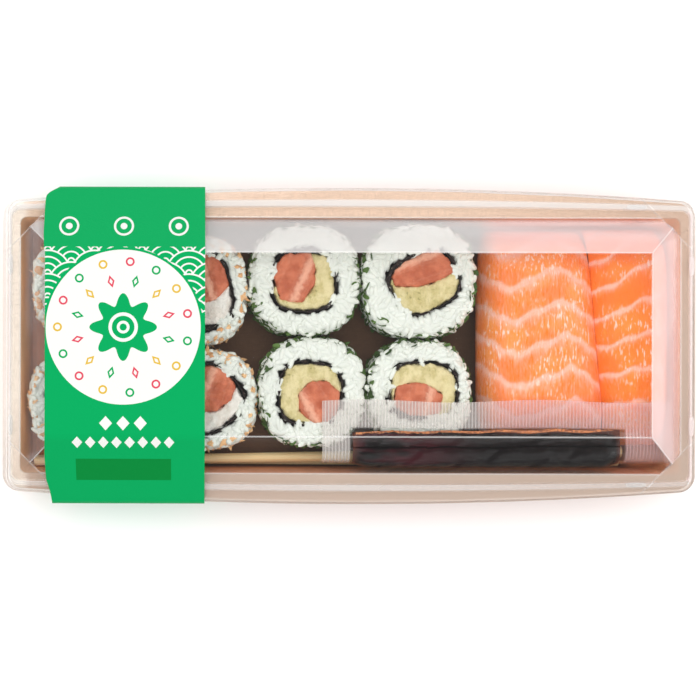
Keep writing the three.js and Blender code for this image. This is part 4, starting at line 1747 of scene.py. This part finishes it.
@dataclass
class SeaweedRing:
    """Where a roll's ring of seaweed lies, and how it ripples, thins out and dips."""

    places: Array
    seed: int
    dips_from: float = 0.2
    dips_by: float = 4.2
    middle: Array = field(init=False)
    knots: Array = field(init=False)
    inner: Array = field(init=False)
    outer: Array = field(init=False)
    phases: Array = field(init=False)

    def __post_init__(self) -> None:
        """Reads the ring's inner and outer edge off the top of the frame's solid."""
        top = self.places[self.places[:, 2] > self.places[:, 2].max() - 0.5]
        self.middle = (top.max(axis=0) + top.min(axis=0))[:2] / 2
        angle = np.arctan2(*(top[:, :2] - self.middle).T[::-1])
        reach = np.linalg.norm(top[:, :2] - self.middle, axis=1)
        order = np.argsort(angle)
        widest = np.argmax(np.diff(angle[order], append=angle[order][0] + 2 * math.pi))
        pairs = np.roll(order, -widest - 1).reshape(-1, 2)
        self.knots = np.angle(np.exp(1j * angle[pairs]).mean(axis=1))
        self.inner, self.outer = reach[pairs].min(axis=1), reach[pairs].max(axis=1)
        self.phases = np.random.default_rng(self.seed + 50).uniform(0, 2 * math.pi, 8)

    def edges(self, turn: Array) -> list[Array]:
        """How far out the ring starts and ends at each angle."""
        both = (self.inner, self.outer)
        return [np.interp(turn, self.knots, reach, period=2 * math.pi) for reach in both]

    def ripple(self, turn: Array, first: int) -> Array:
        """Uneven waves round the ring, from about -1 to 1, other ones for each first phase."""
        waves = zip((2, 3, 5, 9, 14, 23), np.roll(self.phases, first), (1, 0.9, 0.8, 0.6, 0.5, 0.4))
        return sum(size * np.sin(rate * turn + phase) for rate, phase, size in waves) / 2.2

    def dip(self, turn: Array) -> Array:
        """How far the ring's upper edge has sunk at each angle."""
        return np.maximum(self.ripple(turn, 3) - self.dips_from, 0) * self.dips_by


@dataclass
class SushiRoll:
    """One cut roll: rice round a ring of seaweed, a filling in it and a coat of herb or onion."""

    bench: Bench
    kit: Kit
    name: str
    coat: Coat
    seed: int
    grain_turn: float
    band_off: float
    sink: float = 0.45
    top_sunk: float = 0.55
    top_gap: float = 1.7
    side_gap: float = 2.4
    spilled: int = 70
    nori_thick: float = 1.7
    nori_steps: tuple[float, ...] = (0.0, 12.0, 22.0, 24.8, 26.0, 26.7, 27.2)
    core: Piece = field(init=False)
    ring: SeaweedRing = field(init=False)
    crowd: Crowd = field(init=False)
    low: Array = field(init=False)
    high: Array = field(init=False)

    def build(self) -> list[Piece]:
        """Reads the frame's own roll and builds all that is in it.

        Returns:
            Rice, coat, seaweed and both parts of the filling.
        """
        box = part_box(f"{self.name}_rice")
        self.low, self.high = (np.array(corner) / MM for corner in box)
        self.crowd = Crowd(self.bench, self.seed)
        solid = self.bench.copy_node(f"{self.name}_nori", "nori_solid")
        self.ring = SeaweedRing(self.bench.places(solid), self.seed)
        bpy.data.objects.remove(solid)
        self.core = self.bench.copy_node(f"{self.name}_rice", f"{self.name}_core")
        self.bench.knead(self.core, 1.1, 6)
        coat = self.coating()
        kind = self.coat.value
        return [
            self.rice(),
            coat,
            self.seaweed(),
            self.filling("salmon", CUT_SALMON, "roll_salmon"),
            self.filling(kind.soft, kind.soft_finish, kind.soft_slot),
        ]

    @property
    def ceiling(self) -> float:
        """The height at which the grains on top level out."""
        return self.high[2] - 0.2

    def outward(self, places: Array, normals: Array) -> Array:
        """How much each normal points away from the roll's own axis.

        Args:
            places: Spots on the roll.
            normals: Their normals.

        Returns:
            From -1 to 1.
        """
        away = places[:, :2] - (self.low + self.high)[:2] / 2
        away /= np.maximum(np.linalg.norm(away, axis=1), 1e-6)[:, None]
        return np.einsum("ij,ij->i", away, normals[:, :2])

    def on_top(self, places: Array, normals: Array) -> Array:
        """Which spots lie on the cut face."""
        return (normals[:, 2] > 0.45) & (places[:, 2] > self.ceiling - 4)

    def on_side(self, places: Array, normals: Array) -> Array:
        """Which spots lie on the outer side, clear of the floor."""
        facing = self.outward(places, normals) > 0.4
        return facing & (normals[:, 2] < 0.5) & (places[:, 2] > self.low[2] + 1.2)

    def over_ring(self) -> Arrays:
        """Spots where the seaweed has sunk and grains lie over it.

        Returns:
            Their places and normals.
        """
        draw = self.crowd.draw
        turn = draw.uniform(-math.pi, math.pi, self.spilled)
        turn = turn[self.ring.dip(turn) > 0.4]
        near, far = self.ring.edges(turn)
        reach = near + (far - near) * draw.uniform(0.1, 1.4, len(turn))
        flat = np.column_stack([reach * np.cos(turn), reach * np.sin(turn)]) + self.ring.middle
        places = np.column_stack([flat, np.full(len(turn), self.high[2] - 1.2)])
        return places, np.tile([0.0, 0.0, 1.0], (len(turn), 1))

    def levelled(self, places: Array, soft: float = 0.45) -> Array:
        """Presses down what stands over the ceiling, and lifts what is under the floor.

        Args:
            places: The vertices.
            soft: How far a grain may still stand over it.

        Returns:
            Their new places.
        """
        over = np.maximum(places[:, 2] - self.ceiling, 0)
        high = np.minimum(places[:, 2], self.ceiling) + soft * np.tanh(over / soft)
        return np.column_stack([places[:, :2], np.maximum(high, self.low[2])])

    def rice(self) -> Piece:
        """Sinks grains into the core, and lays some over the seaweed.

        Returns:
            The rice.
        """
        self.bench.modify(self.core, "DISPLACE", strength=-self.sink, mid_level=0.0)
        places, normals = self.crowd.spots(self.core, self.top_gap, self.on_top)
        lots = {
            "top": ((places - self.top_sunk * normals, normals), 0.16, (0.85, 1.1)),
            "side": (self.crowd.spots(self.core, self.side_gap, self.on_side), 0.2, (0.9, 1.15)),
            "spilled": (self.over_ring(), 0.12, (0.75, 1.0)),
        }
        self.bench.mark(self.core, "tint", np.full(len(self.core.data.vertices), 0.25))
        grains = [
            self.crowd.gather(f"{self.name}_{kind}", self.kit.grain, spots, lean, sizes)
            for kind, (spots, lean, sizes) in lots.items()
        ]
        rice = self.bench.join([self.core, *grains])
        rice.name = f"{self.name}_grains"
        self.bench.form(rice, self.levelled)
        self.bench.smooth(rice, 70)
        return self.bench.deliver(rice, RICE, "rice", f"{self.name}_rice")

    def coated(self, places: Array, normals: Array) -> Array:
        """Which spots the coat sticks to: patches on the side, and few along the top edge.

        Args:
            places: Spots on the roll.
            normals: Their normals.

        Returns:
            Whether each is kept.
        """
        kind = self.coat.value
        reach = (self.high - self.low)[:2].mean() / 2
        middle = (self.low + self.high)[:2] / 2
        drop = self.high[2] - places[:, 2]
        away = np.linalg.norm(places[:, :2] - middle, axis=1)
        angle = np.arctan2(*(places[:, :2] - middle).T)
        patchy = 0.62 + 0.38 * np.sin(3 * angle + self.seed) * np.sin(5 * angle - self.seed)
        share = patchy * np.interp(drop, [0, 2.2, 5, 27], [kind.top_share, 0.8, 1, 0.5])
        on_side = (self.outward(places, normals) > 0.35) & (drop > 2.2)
        on_edge = (normals[:, 2] > 0.4) & (away > reach * kind.edge)
        share = share * np.where(on_edge, kind.edge_share, 1.0)
        return (on_side | on_edge) & (self.crowd.draw.random(len(places)) < share)

    def coating(self) -> Piece:
        """Sticks chopped herbs or fried onion to the side.

        Returns:
            The coat.
        """
        kind = self.coat.value
        model = self.kit.herb if self.coat is Coat.HERB else self.kit.crumb
        spots = self.crowd.spots(self.core, kind.gap, self.coated)
        coat = self.crowd.gather(f"{self.name}_{kind.bits}", model, spots, 0.5, kind.sizes)
        self.bench.smooth(coat, 50)
        return self.bench.deliver(coat, kind.finish, "rice")

    def laid(self, points: Array) -> Array:
        """Lays a tube of steps a millimetre high round the filling, its upper edge torn.

        Args:
            points: The tube's vertices.

        Returns:
            Their new places.
        """
        turn = np.arctan2(points[:, 1], points[:, 0])
        step = np.rint(points[:, 2]).astype(int)
        near, far = self.ring.edges(turn)
        lie = near + (far - near) * 0.5 + 0.18 * self.ring.ripple(turn + 0.02 * step, 1)
        torn = (step >= 5) * (0.16 * self.ring.ripple(turn, 5) - self.ring.dip(turn))
        z = np.array(self.nori_steps)[step] + self.low[2] + torn
        flat = np.column_stack([lie * np.cos(turn), lie * np.sin(turn)]) + self.ring.middle
        return np.column_stack([flat, z])

    def seaweed(self) -> Piece:
        """Extrudes a tube and gives it uneven thickness and a torn edge.

        Returns:
            The ring of seaweed.
        """
        sheet = self.bench.add("circle", f"{self.name}_seaweed", vertices=112, radius=10)
        with self.bench.editing(sheet):
            for step in range(len(self.nori_steps) - 1):
                bpy.ops.mesh.extrude_region_move(TRANSFORM_OT_translate={"value": (0, 0, 1)})
                self.bench.pick(
                    sheet, "EDGE", lambda edge: min(v.co.z for v in edge.verts) > step + 0.5
                )
        x, y, _z = self.bench.places(sheet).T
        turn = np.arctan2(y, x)
        near, far = self.ring.edges(turn)
        thick = np.clip((far - near) * (0.5 + self.ring.ripple(turn, 2)), 0.25, self.nori_thick)
        group = sheet.vertex_groups.new(name="thick")
        for i, share in enumerate(thick / self.nori_thick):
            group.add([i], float(share), "REPLACE")
        self.bench.form(sheet, self.laid)
        with self.bench.editing(sheet):
            self.bench.face_out()
        self.bench.modify(
            sheet, "SOLIDIFY", thickness=self.nori_thick, offset=0.0, vertex_group="thick"
        )
        self.bench.modify(sheet, "BEVEL", width=0.12, segments=2, limit_method="ANGLE")
        self.bench.smooth(sheet, 50)
        return self.bench.deliver(sheet, NORI, "nori", f"{self.name}_nori")

    def filling(self, part: str, finish: Finish, slot: str) -> Piece:
        """Presses one part of the filling soft and marks the way across its fibres.

        Args:
            part: The part's name.
            finish: Its finish.
            slot: Its material's slot.

        Returns:
            The part.
        """
        piece = self.bench.copy_node(f"{self.name}_{part}", f"{self.name}_{part}_cut")
        self.bench.knead(piece, 0.6, 5)
        self.bench.roughen(piece, 1.5, 1.9, 0.3)
        places = self.bench.places(piece)
        x, y, _z = (places - (places.max(axis=0) + places.min(axis=0)) / 2).T
        turn = math.radians(self.grain_turn)
        across = x * math.sin(turn) - y * math.cos(turn) - self.band_off
        self.bench.mark(piece, "across", across)
        self.bench.smooth(piece, 60)
        return self.bench.deliver(piece, finish, slot, f"{self.name}_{part}")


@dataclass(frozen=True)
class FatLines:
    """How the pale lines lie in a slice of salmon: curves a step apart, bent to one side."""

    tip_x: float
    rise: float
    bend: float
    tilt: float
    start: float
    step: float
    tip_lean: float = 0.0
    fan: float = 0.0
    crest: float = 99.0
    fall: float = 0.0

    def across(self, x: Array, y: Array) -> Array:
        """The number of steps from the first line.

        Args:
            x: Places along the pack.
            y: Places across it.

        Returns:
            The number, whole on a line.
        """
        tip = self.tip_x + self.tip_lean * y
        side = x - tip
        curve = self.rise * np.sqrt(side**2 + self.bend**2) + (self.tilt + self.fan * y) * side
        curve = curve - self.fall * np.maximum(side - self.crest, 0)
        return (y - curve - self.start) / self.step


@dataclass
class Nigiri:
    """A loaf of rice under a slice of salmon that hangs down round it."""

    bench: Bench
    kit: Kit
    name: str
    middle: Pair
    back: float
    front: float
    drift: float
    inner: int
    long: float
    seed: int
    lines: FatLines
    top: float = 31.4
    thick: float = 5.2
    edge_thick: float = 2.2
    side_drop: float = 15.0
    inner_drop: float = 6.5
    end_drop: float = 17.0
    furrow: float = 0.35
    pressed: float = 0.3
    sink: float = 0.7
    side_gap: float = 2.4
    pale: float = 0.0

    def drop(self, u: Array, v: Array) -> Array:
        """How far the slice has dropped from its top.

        Args:
            u: Places across it, -1 to 1.
            v: Places along it, -1 to 1.

        Returns:
            The drops.
        """
        free, propped = self.side_drop * np.abs(u) ** 4.6, self.inner_drop * np.abs(u) ** 3.2
        side = np.where(u * self.inner > 0, propped, free)
        return np.hypot(side, self.end_drop * np.abs(v) ** 5)

    def spread(self, u: Array, v: Array) -> Arrays:
        """Where u and v lie seen from above.

        Args:
            u: Places across the slice, -1 to 1.
            v: The same along it.

        Returns:
            X and Y.
        """
        propped = u * self.inner > 0
        rounded = u * (1 - np.where(propped, 0.06, 0.2) * np.abs(v) ** 6)
        half = self.front + (self.back - self.front) * (v + 1) / 2
        closed = self.pressed * self.inner * propped * np.abs(u) ** 8
        x = self.middle[0] + rounded * half + self.drift * (1 - v) / 2 + closed
        return x, self.middle[1] + v * self.long

    def lined(self, x: Array, y: Array) -> Array:
        """How pale the slice is.

        Args:
            x: Places along the pack.
            y: Places across it.

        Returns:
            1 on a pale line, and least half-way between two.
        """
        wander = 0.05 * np.sin(0.35 * x + self.seed) + 0.04 * np.sin(0.9 * x - 0.4 * y)
        off = ((self.lines.across(x, y) + wander + 0.5) % 1 - 0.5) * self.lines.step
        line = 0.62 * np.exp(-((off / 0.75) ** 2))
        halo = 0.5 * np.exp(-((off / np.where(off < 0, 2.6, 1.0)) ** 2))
        return np.minimum(line + halo + self.pale, 1.0)

    def slice(self) -> Piece:
        """Shapes an upper and a lower grid and closes them along their edges.

        Returns:
            The salmon.
        """
        layers = []
        for lower in (False, True):
            sheet = self.bench.add(
                "grid", f"{self.name}_slice", x_subdivisions=76, y_subdivisions=150, size=2
            )
            u, v, _ = self.bench.places(sheet).T
            x, y = self.spread(u, v)
            edge = np.maximum(np.abs(u), np.abs(v)) ** 3
            thick = self.thick + (self.edge_thick - self.thick) * edge
            fat = self.lined(x, y)
            sag = 0.3 * np.sin(0.16 * y + self.seed) * np.sin(0.2 * x)
            z = self.top - self.drop(u, v) - (thick if lower else self.furrow * fat) + sag
            inset = 1 - 0.05 * edge if lower else 1.0
            x = self.middle[0] + (x - self.middle[0]) * inset
            y = self.middle[1] + (y - self.middle[1]) * inset
            self.bench.put(sheet, np.column_stack([x, y, z]))
            self.bench.mark(sheet, "fat", fat)
            # Where the slice falls away at its sides: the mask for the painted shade of its edges.
            self.bench.mark(sheet, "groove_shade", blend_step(0.8, 1.0, np.abs(u)))
            layers.append(sheet)
        fish = self.bench.close(layers)
        fish.name = f"{self.name}_slice"
        self.bench.modify(
            fish, "BEVEL", width=0.15, segments=2, limit_method="ANGLE", angle_limit=1.0
        )
        self.bench.smooth(fish, 60)
        return self.bench.deliver(fish, SLICE_SALMON, "nigiri_salmon", f"{self.name}_salmon")

    @property
    def floor(self) -> float:
        """The height that the loaf stands at."""
        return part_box(f"{self.name}_rice")[0][2] / MM

    def on_side(self, places: Array, normals: Array) -> Array:
        """Which spots of the loaf carry grains: those that don't face down, clear of the floor."""
        return (normals[:, 2] > -0.3) & (places[:, 2] > self.floor + 1.2)

    def grounded(self, places: Array) -> Array:
        """Lifts what is under the floor."""
        return np.column_stack([places[:, :2], np.maximum(places[:, 2], self.floor)])

    def rice(self) -> Piece:
        """Sinks grains into the loaf's sides.

        Returns:
            The loaf.
        """
        core = self.bench.copy_node(f"{self.name}_rice", f"{self.name}_core")
        self.bench.knead(core, 1.2, 6)
        self.bench.modify(core, "DISPLACE", strength=-self.sink, mid_level=0.0)
        crowd = Crowd(self.bench, self.seed)
        spots = crowd.spots(core, self.side_gap, self.on_side)
        grains = crowd.gather(f"{self.name}_side", self.kit.grain, spots, 0.2, (0.85, 1.1))
        self.bench.mark(core, "tint", np.full(len(core.data.vertices), 0.25))
        rice = self.bench.join([core, grains])
        rice.name = f"{self.name}_grains"
        self.bench.form(rice, self.grounded)
        self.bench.smooth(rice, 70)
        return self.bench.deliver(rice, RICE, "rice", f"{self.name}_rice")

    def build(self) -> list[Piece]:
        """The slice and the rice under it."""
        return [self.slice(), self.rice()]


@dataclass
class SoySachet:
    """A long sachet, its ribbed seal on the rolls and its pouch hanging down in front of them."""

    bench: Bench
    x0: float = -9.3
    x1: float = 106.0
    left_seal: float = 9.2
    right_seal: float = 16.0
    film: float = 0.5
    fill_run: float = 7.0
    rib: float = 1.1
    rib_depth: float = 0.13
    upper_seal: Pair = (8.6, 9.3)
    lower_seal: Pair = (31.0, 31.6)
    soy_starts: float = 10.6
    soy_ends: float = 31.0
    # How far down the sheet, its place across the tray, its height and its thickness.
    route: tuple[tuple[float, float, float, float], ...] = (
        (0, -18.2, 30.6, 0),
        (5, -23.1, 30.5, 0),
        (9.5, -27.6, 30.6, 0.3),
        (13, -31, 32, 3.2),
        (16.8, -34.8, 32.2, 3.9),
        (20, -37.4, 30.4, 4),
        (23, -38.4, 27.6, 3.6),
        (27, -38.5, 23.6, 2.4),
        (31, -38.5, 19.6, 0),
        (35, -38.6, 15.6, 0),
    )

    def lie(self, x: Array, s: Array) -> Arrays:
        """The middle sheet's place across the tray and its height: it waves, and lifts over food.

        Args:
            x: Places along the tray.
            s: How far down the sheet.

        Returns:
            Y and Z.
        """
        knots, y_at, z_at, _thick = np.array(self.route).T
        over = blend_step(46, 58, x) * (1 - blend_step(96, 106, x))
        raised = 1.5 * over * (1 - blend_step(5, 16, s)) - 1.1 * blend_step(98, 106, x)
        waved = 0.5 * np.sin((x - self.x0) * 0.11) * (1 - blend_step(3, 12, s))
        return glide(s, knots, y_at) + waved, glide(s, knots, z_at) + raised

    def sheet(self, x: Array, s: Array) -> tuple[Array, Array, Array]:
        """The sachet's middle sheet.

        Args:
            x: Places along the tray.
            s: How far down the sheet.

        Returns:
            The places, the sheet's normals there, and how thick the pouch is.
        """
        y, z = self.lie(x, s)
        y2, z2 = self.lie(x, s + 0.2)
        run = np.hypot(y2 - y, z2 - z)
        normals = np.column_stack([np.zeros_like(x), -(z2 - z) / run, (y2 - y) / run])
        normals *= np.where(normals[:, 1] > 0, -1, 1)[:, None]
        body = blend_step(self.left_seal * 0.9, self.left_seal + self.fill_run, x - self.x0)
        end = self.x1 - self.right_seal
        body = body * (1 - blend_step(end - self.fill_run, end, x))
        knots, _y, _z, thick_at = np.array(self.route).T
        thick = np.maximum(glide(s, knots, thick_at), 0) * body
        return np.column_stack([x, y, z]), normals, thick

    def pillow(
        self,
        name: str,
        counts: tuple[int, int],
        window: Callable[..., Arrays],
        out: Callable[..., Array],
    ) -> Piece:
        """A closed pillow between an upper and a lower sheet.

        Args:
            name: The piece's name.
            counts: Steps along the sachet and down it.
            window: Gives the place along and down from shares of 0 to 1.
            out: Gives half the thickness from both places and the pouch's thickness.

        Returns:
            The pillow.
        """
        sides = []
        for side in (1, -1):
            sheet = self.bench.add(
                "grid", name, x_subdivisions=counts[0], y_subdivisions=counts[1], size=1
            )
            flat = self.bench.places(sheet)
            x, s = window(flat[:, 0] + 0.5, 0.5 - flat[:, 1])
            middle, normals, thick = self.sheet(x, s)
            self.bench.put(sheet, middle + side * normals * out(x, s, thick, side)[:, None])
            self.bench.mark(sheet, "seal", self.sealed(x, s))
            self.bench.mark(sheet, "thin", 1 - np.minimum(thick / 2.2, 1))
            sides.append(sheet)
        pillow = self.bench.close(sides)
        pillow.name = name
        return pillow

    def sealed(self, x: Array, s: Array) -> Array:
        """How much the film is sealed.

        Args:
            x: Places along the tray.
            s: How far down the sheet.

        Returns:
            1 in the ribs, 0 over the pouch.
        """
        place = x - self.x0
        left = 1 - blend_step(self.left_seal - 0.6, self.left_seal + 0.2, place)
        right = blend_step(-0.2, 0.6, x - (self.x1 - self.right_seal))
        right *= 1 - 0.3 * blend_step(9, 15, s)
        upper = 1 - blend_step(*self.upper_seal, s)
        return np.maximum.reduce([left, right, upper, blend_step(*self.lower_seal, s)])

    def film_out(self, x: Array, s: Array, thick: Array, side: int) -> Array:
        """How far the film lies off the middle sheet: ribbed at its seals and creased elsewhere."""
        ribs = side * self.rib_depth * np.sin(2 * math.pi * x / self.rib) * self.sealed(x, s)
        return (self.film + thick) / 2 + ribs + self.creased(x, s) * (thick > 0.4)

    @staticmethod
    def creased(x: Array, s: Array) -> Array:
        """Soft creases over the pouch."""
        return 0.16 * np.sin(0.5 * x + 0.9 * s) * np.sin(0.23 * x)

    @property
    def soy_span(self) -> Pair:
        """Where the sauce starts along the tray, and how long it is."""
        seals = self.left_seal + self.right_seal
        return self.x0 + self.left_seal + 0.8, self.x1 - self.x0 - seals - 2.4

    def soy_line(self, x: Array) -> Array:
        """How far down the sheet the sauce starts."""
        start, long = self.soy_span
        return self.soy_starts - 1.2 * (x - start) / long + 0.25 * np.sin(0.35 * x)

    def soy_out(self, x: Array, s: Array, thick: Array, _side: int) -> Array:
        """How far the sauce reaches off the middle sheet, just into the film."""
        rim = np.minimum(1, np.minimum(s - self.soy_line(x), self.soy_ends - s) / 1.2 + 0.05)
        return (thick / 2 + 0.14) * np.sqrt(np.clip(rim, 0.0025, 1))

    def froth_out(self, _x: Array, _s: Array, thick: Array, side: int) -> Array:
        """How far the froth reaches off the middle sheet, a little over the sauce."""
        return (thick / 2 + 0.14) + (0.08 if side > 0 else -0.1)

    def soy_window(self, a: Array, b: Array) -> Arrays:
        """The sauce's part of the sheet, from shares of 0 to 1."""
        x = self.soy_span[0] + a * self.soy_span[1]
        return x, self.soy_line(x) + b * (self.soy_ends - self.soy_line(x))

    def froth_window(self, a: Array, b: Array) -> Arrays:
        """The froth's part of the sheet, wider to the right.

        Args:
            a: Shares along it, 0 to 1.
            b: Shares down it.

        Returns:
            The place along the tray and down the sheet.
        """
        start, long = self.soy_span
        x = start + 1 + a * (long - 3)
        wide = 0.6 + 1.7 * a + 0.3 * np.sin(0.8 * x) + 0.2 * np.sin(2.1 * x)
        return x, self.soy_line(x) - 0.15 + b * wide

    def build(self) -> list[Piece]:
        """Builds all three and smooths them.

        Returns:
            Film, sauce and froth.
        """
        length, fall = self.x1 - self.x0, self.route[-1][0]
        steps = (4 * round(length / self.rib), 60)
        film = self.pillow(
            "sachet_film", steps, lambda a, b: (self.x0 + a * length, b * fall), self.film_out
        )
        sauce = self.pillow("soy_sauce", (160, 54), self.soy_window, self.soy_out)
        froth = self.pillow("sauce_froth", (150, 5), self.froth_window, self.froth_out)
        for piece in (film, sauce, froth):
            self.bench.smooth(piece, 60)
        return [
            self.bench.deliver(film, FILM, "soy_sachet", "soy_sachet"),
            self.bench.deliver(sauce, SAUCE, "soy_sachet"),
            self.bench.deliver(froth, FROTH, "soy_sachet"),
        ]


@dataclass
class ChopstickPair:
    """Two bamboo sticks, one over the other, their edges rounded."""

    bench: Bench
    edge: float = 0.45

    def build(self) -> list[Piece]:
        """Rounds the frame's own sticks.

        Returns:
            Both sticks.
        """
        sticks = []
        for number in (1, 2):
            node = f"chopstick_{number}"
            stick = self.bench.copy_node(node, f"bamboo_stick_{number}")
            self.bench.flatten(stick)
            self.bench.modify(
                stick, "BEVEL", width=self.edge, segments=3, limit_method="ANGLE", angle_limit=0.5
            )
            self.bench.smooth(stick, 40)
            sticks.append(self.bench.deliver(stick, BAMBOO, "bamboo", node))
        return sticks


# ---- The studio -----------------------------------------------------------------------------


@dataclass
class Studio:
    """A pale floor, soft boxes and a camera that looks almost straight down."""

    aim: Pair = (-0.1, -1.45)
    stand: Pair = (-50.0, -17.0)
    level: float = 29.3
    distance: float = 600.0
    turn: float = 0.15
    shown: float = 231.0
    sensor: float = 36.0
    tent: float = 1.0
    gloom: float = 0.1
    tent_rises: Pair = (0.12, 0.32)
    tent_falls: Pair = (0.94, 0.85)
    veil: float = 1.4
    key: float = 2.0
    top: float = 4.2

    def camera(self) -> None:
        """A camera that looks straight down from beside the middle, its lens shifted to it."""
        data = bpy.data.cameras.new("camera")
        data.sensor_width = self.sensor
        data.lens = self.sensor * self.distance / self.shown
        camera = bpy.data.objects.new("camera", data)
        stand = Vector(self.stand)
        camera.location = Vector((*stand, self.level + self.distance)) * MM
        camera.rotation_euler.z = math.radians(self.turn)
        shift = Matrix.Rotation(-math.radians(self.turn), 2) @ (Vector(self.aim) - stand)
        data.shift_x, data.shift_y = shift / self.shown
        bpy.context.scene.collection.objects.link(camera)
        bpy.context.scene.camera = camera

    def floor(self) -> None:
        """The floor, far wider than the pack."""
        bpy.ops.object.select_all(action="DESELECT")
        bpy.ops.mesh.primitive_grid_add(x_subdivisions=8, y_subdivisions=8, size=6)
        floor = bpy.context.object
        floor.name = "floor"
        floor.data.materials.append(FLOOR.material())

    def box(
        self,
        name: str,
        place: Vector,
        size: Pair,
        radiance: float,
        veil: bool,
        glossy: bool = True,
    ) -> None:
        """A soft box that looks at the pack and isn't seen itself.

        Args:
            name: Its name.
            place: Its middle, in metres.
            size: Its width and height, in metres.
            radiance: How bright it looks, where 1 is white.
            veil: Whether it only shows as a mirror image on what shines.
            glossy: Whether it shows as a mirror image at all.
        """
        light = bpy.data.lights.new(name, "AREA")
        light.shape = "RECTANGLE"
        light.size, light.size_y = size
        light.energy = radiance * math.pi * size[0] * size[1]
        lamp = bpy.data.objects.new(name, light)
        lamp.location = place
        target = Vector((0, 0, place.z if veil else 0.03))
        lamp.rotation_euler = (target - place).to_track_quat("-Z", "Y").to_euler()
        lamp.visible_camera = False
        lamp.visible_diffuse = not veil
        lamp.visible_glossy = glossy
        bpy.context.scene.collection.objects.link(lamp)

    def sky(self) -> None:
        """A tent of light, dark straight above and along the horizon, so the lid stays clear."""
        world = bpy.data.worlds.new("sky")
        board = Board(world)
        direction = board.node("TexCoord", output="Generated")
        height = board.node("SeparateXYZ", inputs={0: direction}, output="Z")
        tent = height.step(*self.tent_rises) * height.step(*self.tent_falls)
        glow = tent * (self.tent - self.gloom) + self.gloom
        light = board.node("Background", inputs={"Color": (1, 1, 1, 1), "Strength": glow})
        board.close(light, "OutputWorld")
        bpy.context.scene.world = world

    def build(self) -> None:
        """Floor, lights, sky and camera."""
        self.floor()
        self.sky()
        self.box("north_box", Vector((0.02, 0.40, 0.13)), (0.9, 0.26), self.veil, True)
        self.box("east_box", Vector((0.34, 0, 0.11)), (0.5, 0.22), self.veil, True)
        self.box("key_box", Vector((-0.2, 0.5, 0.9)), (0.4, 0.4), self.key, False)
        self.box("top_box", Vector((0, 0, 1.1)), (0.8, 0.8), self.top, False, glossy=False)
        bpy.context.scene.view_settings.view_transform = "Standard"
        self.camera()


def dinner(bench: Bench) -> list[Any]:
    """Everything in the tray, in the order in which it is packed.

    Args:
        bench: The modelling tools.

    Returns:
        The sub-assemblies, each with a build method.
    """
    kit = Kit(bench)
    bands = {
        "herb_roll_1": (66, 2.5),
        "herb_roll_2": (20, -3.5),
        "herb_roll_3": (120, -4.0),
        "herb_roll_4": (75, 3.6),
        "onion_roll_1": (110, 2.0),
        "onion_roll_2": (65, -1.5),
        "onion_roll_3": (40, 3.0),
        "onion_roll_4": (130, 1.0),
    }
    rolls = [
        SushiRoll(bench, kit, name, Coat[name.split("_")[0].upper()], i + 1, turn, off)
        for i, (name, (turn, off)) in enumerate(bands.items())
    ]
    wide = FatLines(54.6, 0.62, 4.0, -0.1, 6.1, 10.9, tip_lean=-0.12, crest=17.5, fall=1.3)
    narrow = FatLines(88.0, 0.0, 1.0, 0.25, 1.2, 10.1, fan=0.012)
    nigiri = [
        Nigiri(bench, kit, "nigiri_1", (60.8, 3.2), 17.6, 20.9, 3.3, 1, 36.0, 21, wide, pale=0.3),
        Nigiri(bench, kit, "nigiri_2", (93.2, 3.4), 14.45, 11.15, 3.3, -1, 36.4, 22, narrow),
    ]
    return [kit, ChopstickPair(bench), *rolls, *nigiri, SoySachet(bench)]


def main() -> None:
    """Builds the pack, its food and the studio."""
    logging.basicConfig(level=logging.INFO, format="%(name)s: %(message)s")
    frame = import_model()
    bench = Bench(frame["nodes"])
    kit, *food = dinner(bench)
    for part in (KraftTray(bench), *food, ClearLid(bench), PaperBand(bench)):
        for piece in part.build():
            LOG.info("built %s", piece.name)
    kit.clear()
    Studio().build()


if __name__ == "__main__":
    main()
